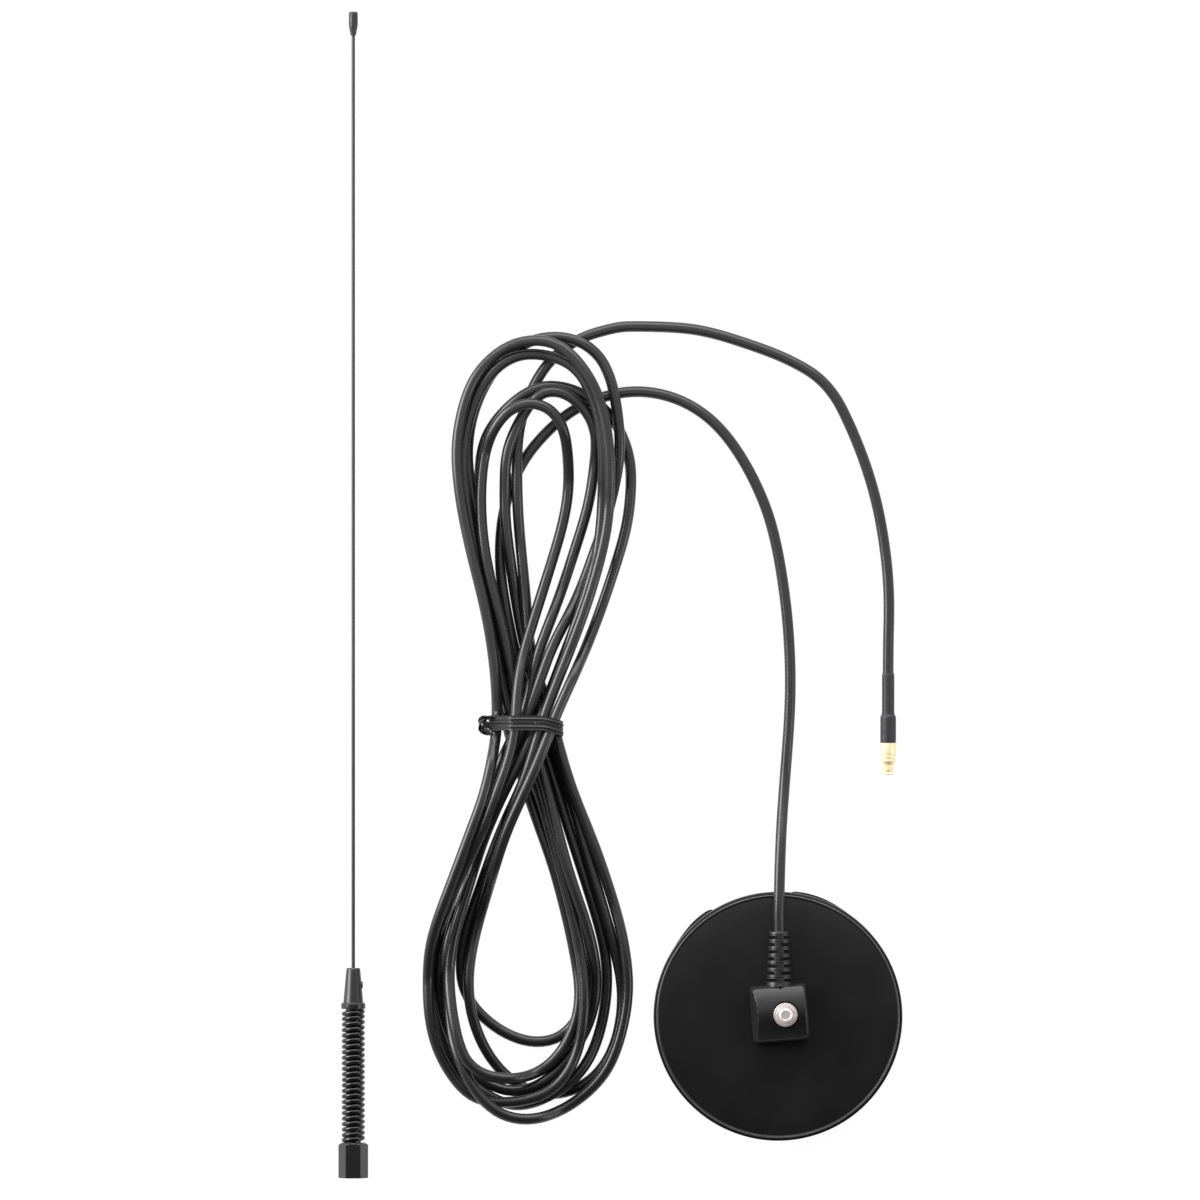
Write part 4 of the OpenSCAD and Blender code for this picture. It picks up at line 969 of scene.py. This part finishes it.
def hex_ring(y, trim=math.inf):
    """hexagon with eased corners, a corner toward +X, a flat toward +Z, trimmed to a radius"""
    # points just each side of every corner keep the flats flat up to a narrow eased edge
    ease_angle = math.radians(1.6)
    angle = []
    for k in range(6):
        c = k * PI / 3
        angle += [c - ease_angle, c - ease_angle * 0.35, c + ease_angle * 0.35, c + ease_angle]
        angle += list(np.linspace(c + ease_angle, c + PI / 3 - ease_angle, 14)[1:-1])
    angle = np.sort(np.array(angle) % (2 * PI))
    flat = NUT_ACROSS / 2 * math.cos(PI / 6)
    from_flat = PI / 6 - np.abs((angle + PI / 6) % (PI / 3) - PI / 6)
    radius = np.minimum(flat / np.cos(from_flat),
                        flat / math.cos(PI / 6 - ease_angle * 0.9) + 0.02)
    return ring(angle, np.minimum(radius, trim), y, WHIP_AT, "y")


def whip_nut():
    """threaded bore, chamfered hexagon, then a spigot toward +Y"""
    rings = [whip_ring(0.01, NUT_START + 9), whip_ring(3.05, NUT_START + 9)]
    for y in np.arange(NUT_START + 8.6, NUT_START + 0.5, -0.125):
        rings.append(whip_ring(3.06 + 0.22 * thread_wave(y - NUT_START, angles(96)), y))
    rings += [whip_ring(3.3, NUT_START + 0.4), whip_ring(3.5, NUT_START)]
    for step, trim in [(0, 5.55), (0.05, 5.7), (0.16, 5.88), (0.3, math.inf)]:
        rings.append(hex_ring(NUT_START + step, trim))
    rings += [hex_ring(y) for y in (-62, -58, -54)]
    for step, trim in [(0.95, math.inf), (0.8, 5.85), (0.45, 5.4), (0.12, 4.95), (0, 4.8)]:
        rings.append(hex_ring(NUT_END - step, trim))
    for radius, step in [(3.2, 0), (3.1, 0.1), (3.1, 5.8), (2.5, 6.5), (0.01, 6.5)]:
        rings.append(whip_ring(radius, NUT_END + step))
    nut = skin("whip_nut", rings, "black_chrome", sharp=18)
    place(nut, "coupling", ["hex_coupling"])


def flex(lower, upper, replaced):
    """two lengths between the nut and the ferrule, meeting in the middle, fixed where they lie; the
    part they replace is hidden
    """
    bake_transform(lower)
    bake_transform(upper)
    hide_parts(replaced)


def spring():
    wire_r, coil_r, pitch = 0.90, 3.80, 2.2
    y_start, y_end = -50.9, 3.2
    start, end_pitch = 0.25, 1.84      # turns begin and end beneath; the end turns lie close
    steps = 40                         # to a turn
    travel = y_end - y_start - 2 * wire_r
    turns = start + round((travel - 2 * end_pitch) / pitch) + 2
    middle = round(turns / 2 * steps) / steps

    def piece(name, first_turn, last_turn):
        count = int(round((last_turn - first_turn) * steps)) + 1
        u = np.linspace(first_turn, last_turn, count)
        y = y_start + wire_r + np.interp(u, [start, start + 1, turns - 1, turns],
                                         [0, end_pitch, travel - end_pitch, travel])
        a = u * 2 * PI
        points = np.c_[WHIP_X + coil_r * np.cos(a), y, WHIP_Z - coil_r * np.sin(a)]
        tangent = unit(np.c_[-coil_r * np.sin(a) * 2 * PI, np.gradient(y, u),
                             -coil_r * np.cos(a) * 2 * PI])
        outward = np.c_[np.cos(a), np.zeros(count), -np.sin(a)]
        return tube(name, points, outward, np.cross(tangent, outward), wire_r, segments=14,
                    material="spring_gloss", sharp=60)

    lower = piece("spring_lower", start, middle)
    upper = piece("spring_upper", middle, turns)
    flex(lower, upper, "whip_spring")


def spring_core():
    """sleeved braid inside the spring"""
    def piece(name, y_from, y_to):
        rings = [whip_ring(2.84 + 0.03 * math.sin(2.1 * y), y, 40)
                 for y in np.linspace(y_from, y_to, 40)]
        return skin(name, rings, "core_sleeve", sharp=60)

    lower = piece("core_lower", -44.6, -23.6)
    upper = piece("core_upper", -23.6, -3.0)
    flex(lower, upper, "shunt_core")


def rod_holder():
    """ferrule: collar, cone and neck, with a cross hole for the grub screw on its +X side"""
    # (radius, y)
    corners = [
        (0.78, 4.2), (0.01, 4.2), (0.01, -3.5), (2.9, -3.5), (3.1, -3.2), (3.1, 2.9),
        (4.62, 2.9), (4.86, 3.15), (4.86, 4.95), (4.5, 5.3), (4.02, 5.35), (3.98, 5.6),
        (2.80, 18.75), (2.45, 19.25), (0.9, 19.3), (0.78, 19.15)]
    holder = lathe("rod_holder", rounded_loop(corners, 0.16), "black_chrome", segments=96,
                   at=WHIP_AT, along="y", sharp=40)
    bpy.ops.mesh.primitive_cylinder_add(
        vertices=48, radius=0.0015, depth=0.006, rotation=(0, PI / 2, 0),
        location=((WHIP_X + 4.0) / 1000, 0.0125, WHIP_Z / 1000))
    cutter = bpy.context.object
    hole = holder.modifiers.new("hole", "BOOLEAN")
    hole.operation = "DIFFERENCE"
    hole.object = cutter
    hole.solver = "EXACT"
    bpy.context.view_layer.update()
    depsgraph = bpy.context.evaluated_depsgraph_get()
    drilled = bpy.data.meshes.new_from_object(holder.evaluated_get(depsgraph))
    holder.modifiers.clear()
    holder.data = drilled
    bpy.data.objects.remove(cutter)
    drilled.materials.clear()
    drilled.materials.append(MATERIALS["black_chrome"])
    drilled.set_sharp_from_angle(angle=math.radians(40))
    place(holder, "ferrule", ["whip_ferrule"])


def rod_wire():
    corners = [(0.001, 7.0), (0.66, 7.0), (0.72, 7.2)]      # (radius, y)
    corners += [(0.72, y) for y in np.linspace(20, 395, 26)]
    corners += [(0.72, 399.6), (0.6, 399.9), (0.001, 399.9)]
    rod = lathe("rod_wire", rounded(corners, 0.05, 2), "rod_steel", segments=32, at=WHIP_AT,
                along="y", closed=False)
    place(rod, "whip", ["whip_rod"])


def rod_tip():
    # (radius, y)
    corners = [
        (0.74, 391.9), (0.95, 391.9), (1.12, 392.1), (1.30, 393.2), (1.62, 394.8), (1.80, 396.0),
        (1.84, 396.6), (1.84, 400.6), (1.66, 401.2), (1.2, 401.45), (0.001, 401.5),
        (0.001, 399.95), (0.74, 399.95)]
    tip = lathe("rod_tip", rounded_loop(corners, 0.2), "cap_plastic", segments=64, at=WHIP_AT,
                along="y", sharp=45)
    place(tip, "whip", ["tip_cap"])


# ------------------------------------------------------------------ floor, light, camera (metres)
SCENE_X, SCENE_Y = -0.07, 0.166


def floor_material():
    """pale floor that glows for the camera and, less, in reflections"""
    material, tree, shader, output = new_material("floor_pale")
    feed(tree, shader, {"Base Color": (0.9, 0.9, 0.9, 1), "Roughness": 0.9})
    glow = add_node(tree, "Emission", {0: (1, 1, 1, 1), 1: 1.05})
    ray = add_node(tree, "LightPath").outputs
    seen = multiply(tree, ray["Is Camera Ray"], 0.93)
    share = add_node(tree, "Math", {0: ray["Is Glossy Ray"], 1: 0.75, 2: seen},
                     operation="MULTIPLY_ADD")
    mix = add_node(tree, "MixShader",
                   {0: share.outputs[0], 1: shader.outputs[0], 2: glow.outputs[0]})
    feed(tree, output, {0: mix.outputs[0]})
    return material


def add_floor():
    bpy.ops.mesh.primitive_grid_add(x_subdivisions=8, y_subdivisions=8, size=6.0,
                                    location=(SCENE_X, SCENE_Y, -0.0002))
    floor = bpy.context.object
    floor.name = "floor"
    floor.data.materials.append(floor_material())


def set_world():
    """dark overhead, pale toward the horizon, palest toward +Y and -X"""
    scene = bpy.context.scene
    scene.world = scene.world or bpy.data.worlds.new("soft")
    scene.world.use_nodes = True
    tree = scene.world.node_tree
    tree.nodes.clear()
    output = add_node(tree, "OutputWorld")
    background = add_node(tree, "Background", {1: 1.0})
    direction = add_node(tree, "TexCoord").outputs["Generated"]
    split = add_node(tree, "SeparateXYZ", {0: direction})
    sideways = add_node(tree, "VectorMath", operation="DOT_PRODUCT")
    feed(tree, sideways, {0: direction, 1: (-0.25, 0.45, 0.0)})
    around = add_node(tree, "Math", {0: sideways.outputs["Value"], 1: 0.85}, operation="ADD")
    upward = add_node(tree, "MapRange", {
        "From Min": 0.75, "From Max": 0.0, "To Min": 0.05, "To Max": 1.15,
        "Value": split.outputs["Z"]})
    feed(tree, background, {0: multiply(tree, around.outputs[0], upward.outputs[0])})
    feed(tree, output, {0: background.outputs[0]})


def softbox(name, location, target, width, height, radiance):
    """rectangular light aimed at the target and hidden from the camera"""
    light = bpy.data.lights.new(name, "AREA")
    light.shape = "RECTANGLE"
    light.size = width
    light.size_y = height
    light.energy = radiance * PI * width * height
    ob = bpy.data.objects.new(name, light)
    bpy.context.scene.collection.objects.link(ob)
    ob.location = location
    aim = Vector(target) - Vector(location)
    ob.rotation_euler = aim.to_track_quat("-Z", "Y").to_euler()
    ob.visible_camera = False


def add_lights():
    softbox("softbox_over", location=(-0.15, 0.600, 0.30), target=(-0.15, 0.600, 0),
            width=1.9, height=1.1, radiance=0.8)
    softbox("softbox_left", location=(-1.35, 0.72, 0.62), target=(-0.12, 0.35, 0),
            width=1.2, height=0.9, radiance=9.0)
    softbox("softbox_back", location=(0.0, 1.75, 0.75), target=(SCENE_X, SCENE_Y, 0),
            width=2.0, height=1.2, radiance=3.0)
    softbox("softbox_right", location=(1.4, -0.22, 0.72), target=(0.0, 0.0, 0),
            width=0.5, height=0.8, radiance=3.5)


def add_camera():
    distance, view_width, sensor = 6.0, 0.480, 36
    data = bpy.data.cameras.new("camera")
    camera = bpy.data.objects.new("camera", data)
    bpy.context.scene.collection.objects.link(camera)
    camera.location = (-0.0711, 0.1663, distance)
    camera.rotation_euler = (0, 0, 0)
    data.sensor_width = sensor
    data.lens = sensor * distance / view_width
    data.clip_end = 20
    bpy.context.scene.camera = camera
    bpy.context.scene.view_settings.view_transform = "Standard"


# ------------------------------------------------------------------ build
dress_cad_pieces()
for build_base_piece in (magnet_cup, rim_edge, base_pad, stud_thread, collar_ring, boot_cover,
                         boot_nub, ribbed_relief):
    build_base_piece()

CABLE_AXIS, CABLE_ALONG = cable_axis()
feed_cable(CABLE_AXIS, CABLE_ALONG)
twist_tie(CABLE_AXIS)

for build_plug_piece in (sleeve_long, sleeve_short, plug_shell, plug_tip_sleeve):
    build_plug_piece()

for build_whip_piece in (whip_nut, spring, spring_core, rod_holder, rod_wire, rod_tip):
    build_whip_piece()

add_floor()
set_world()
add_lights()
add_camera()
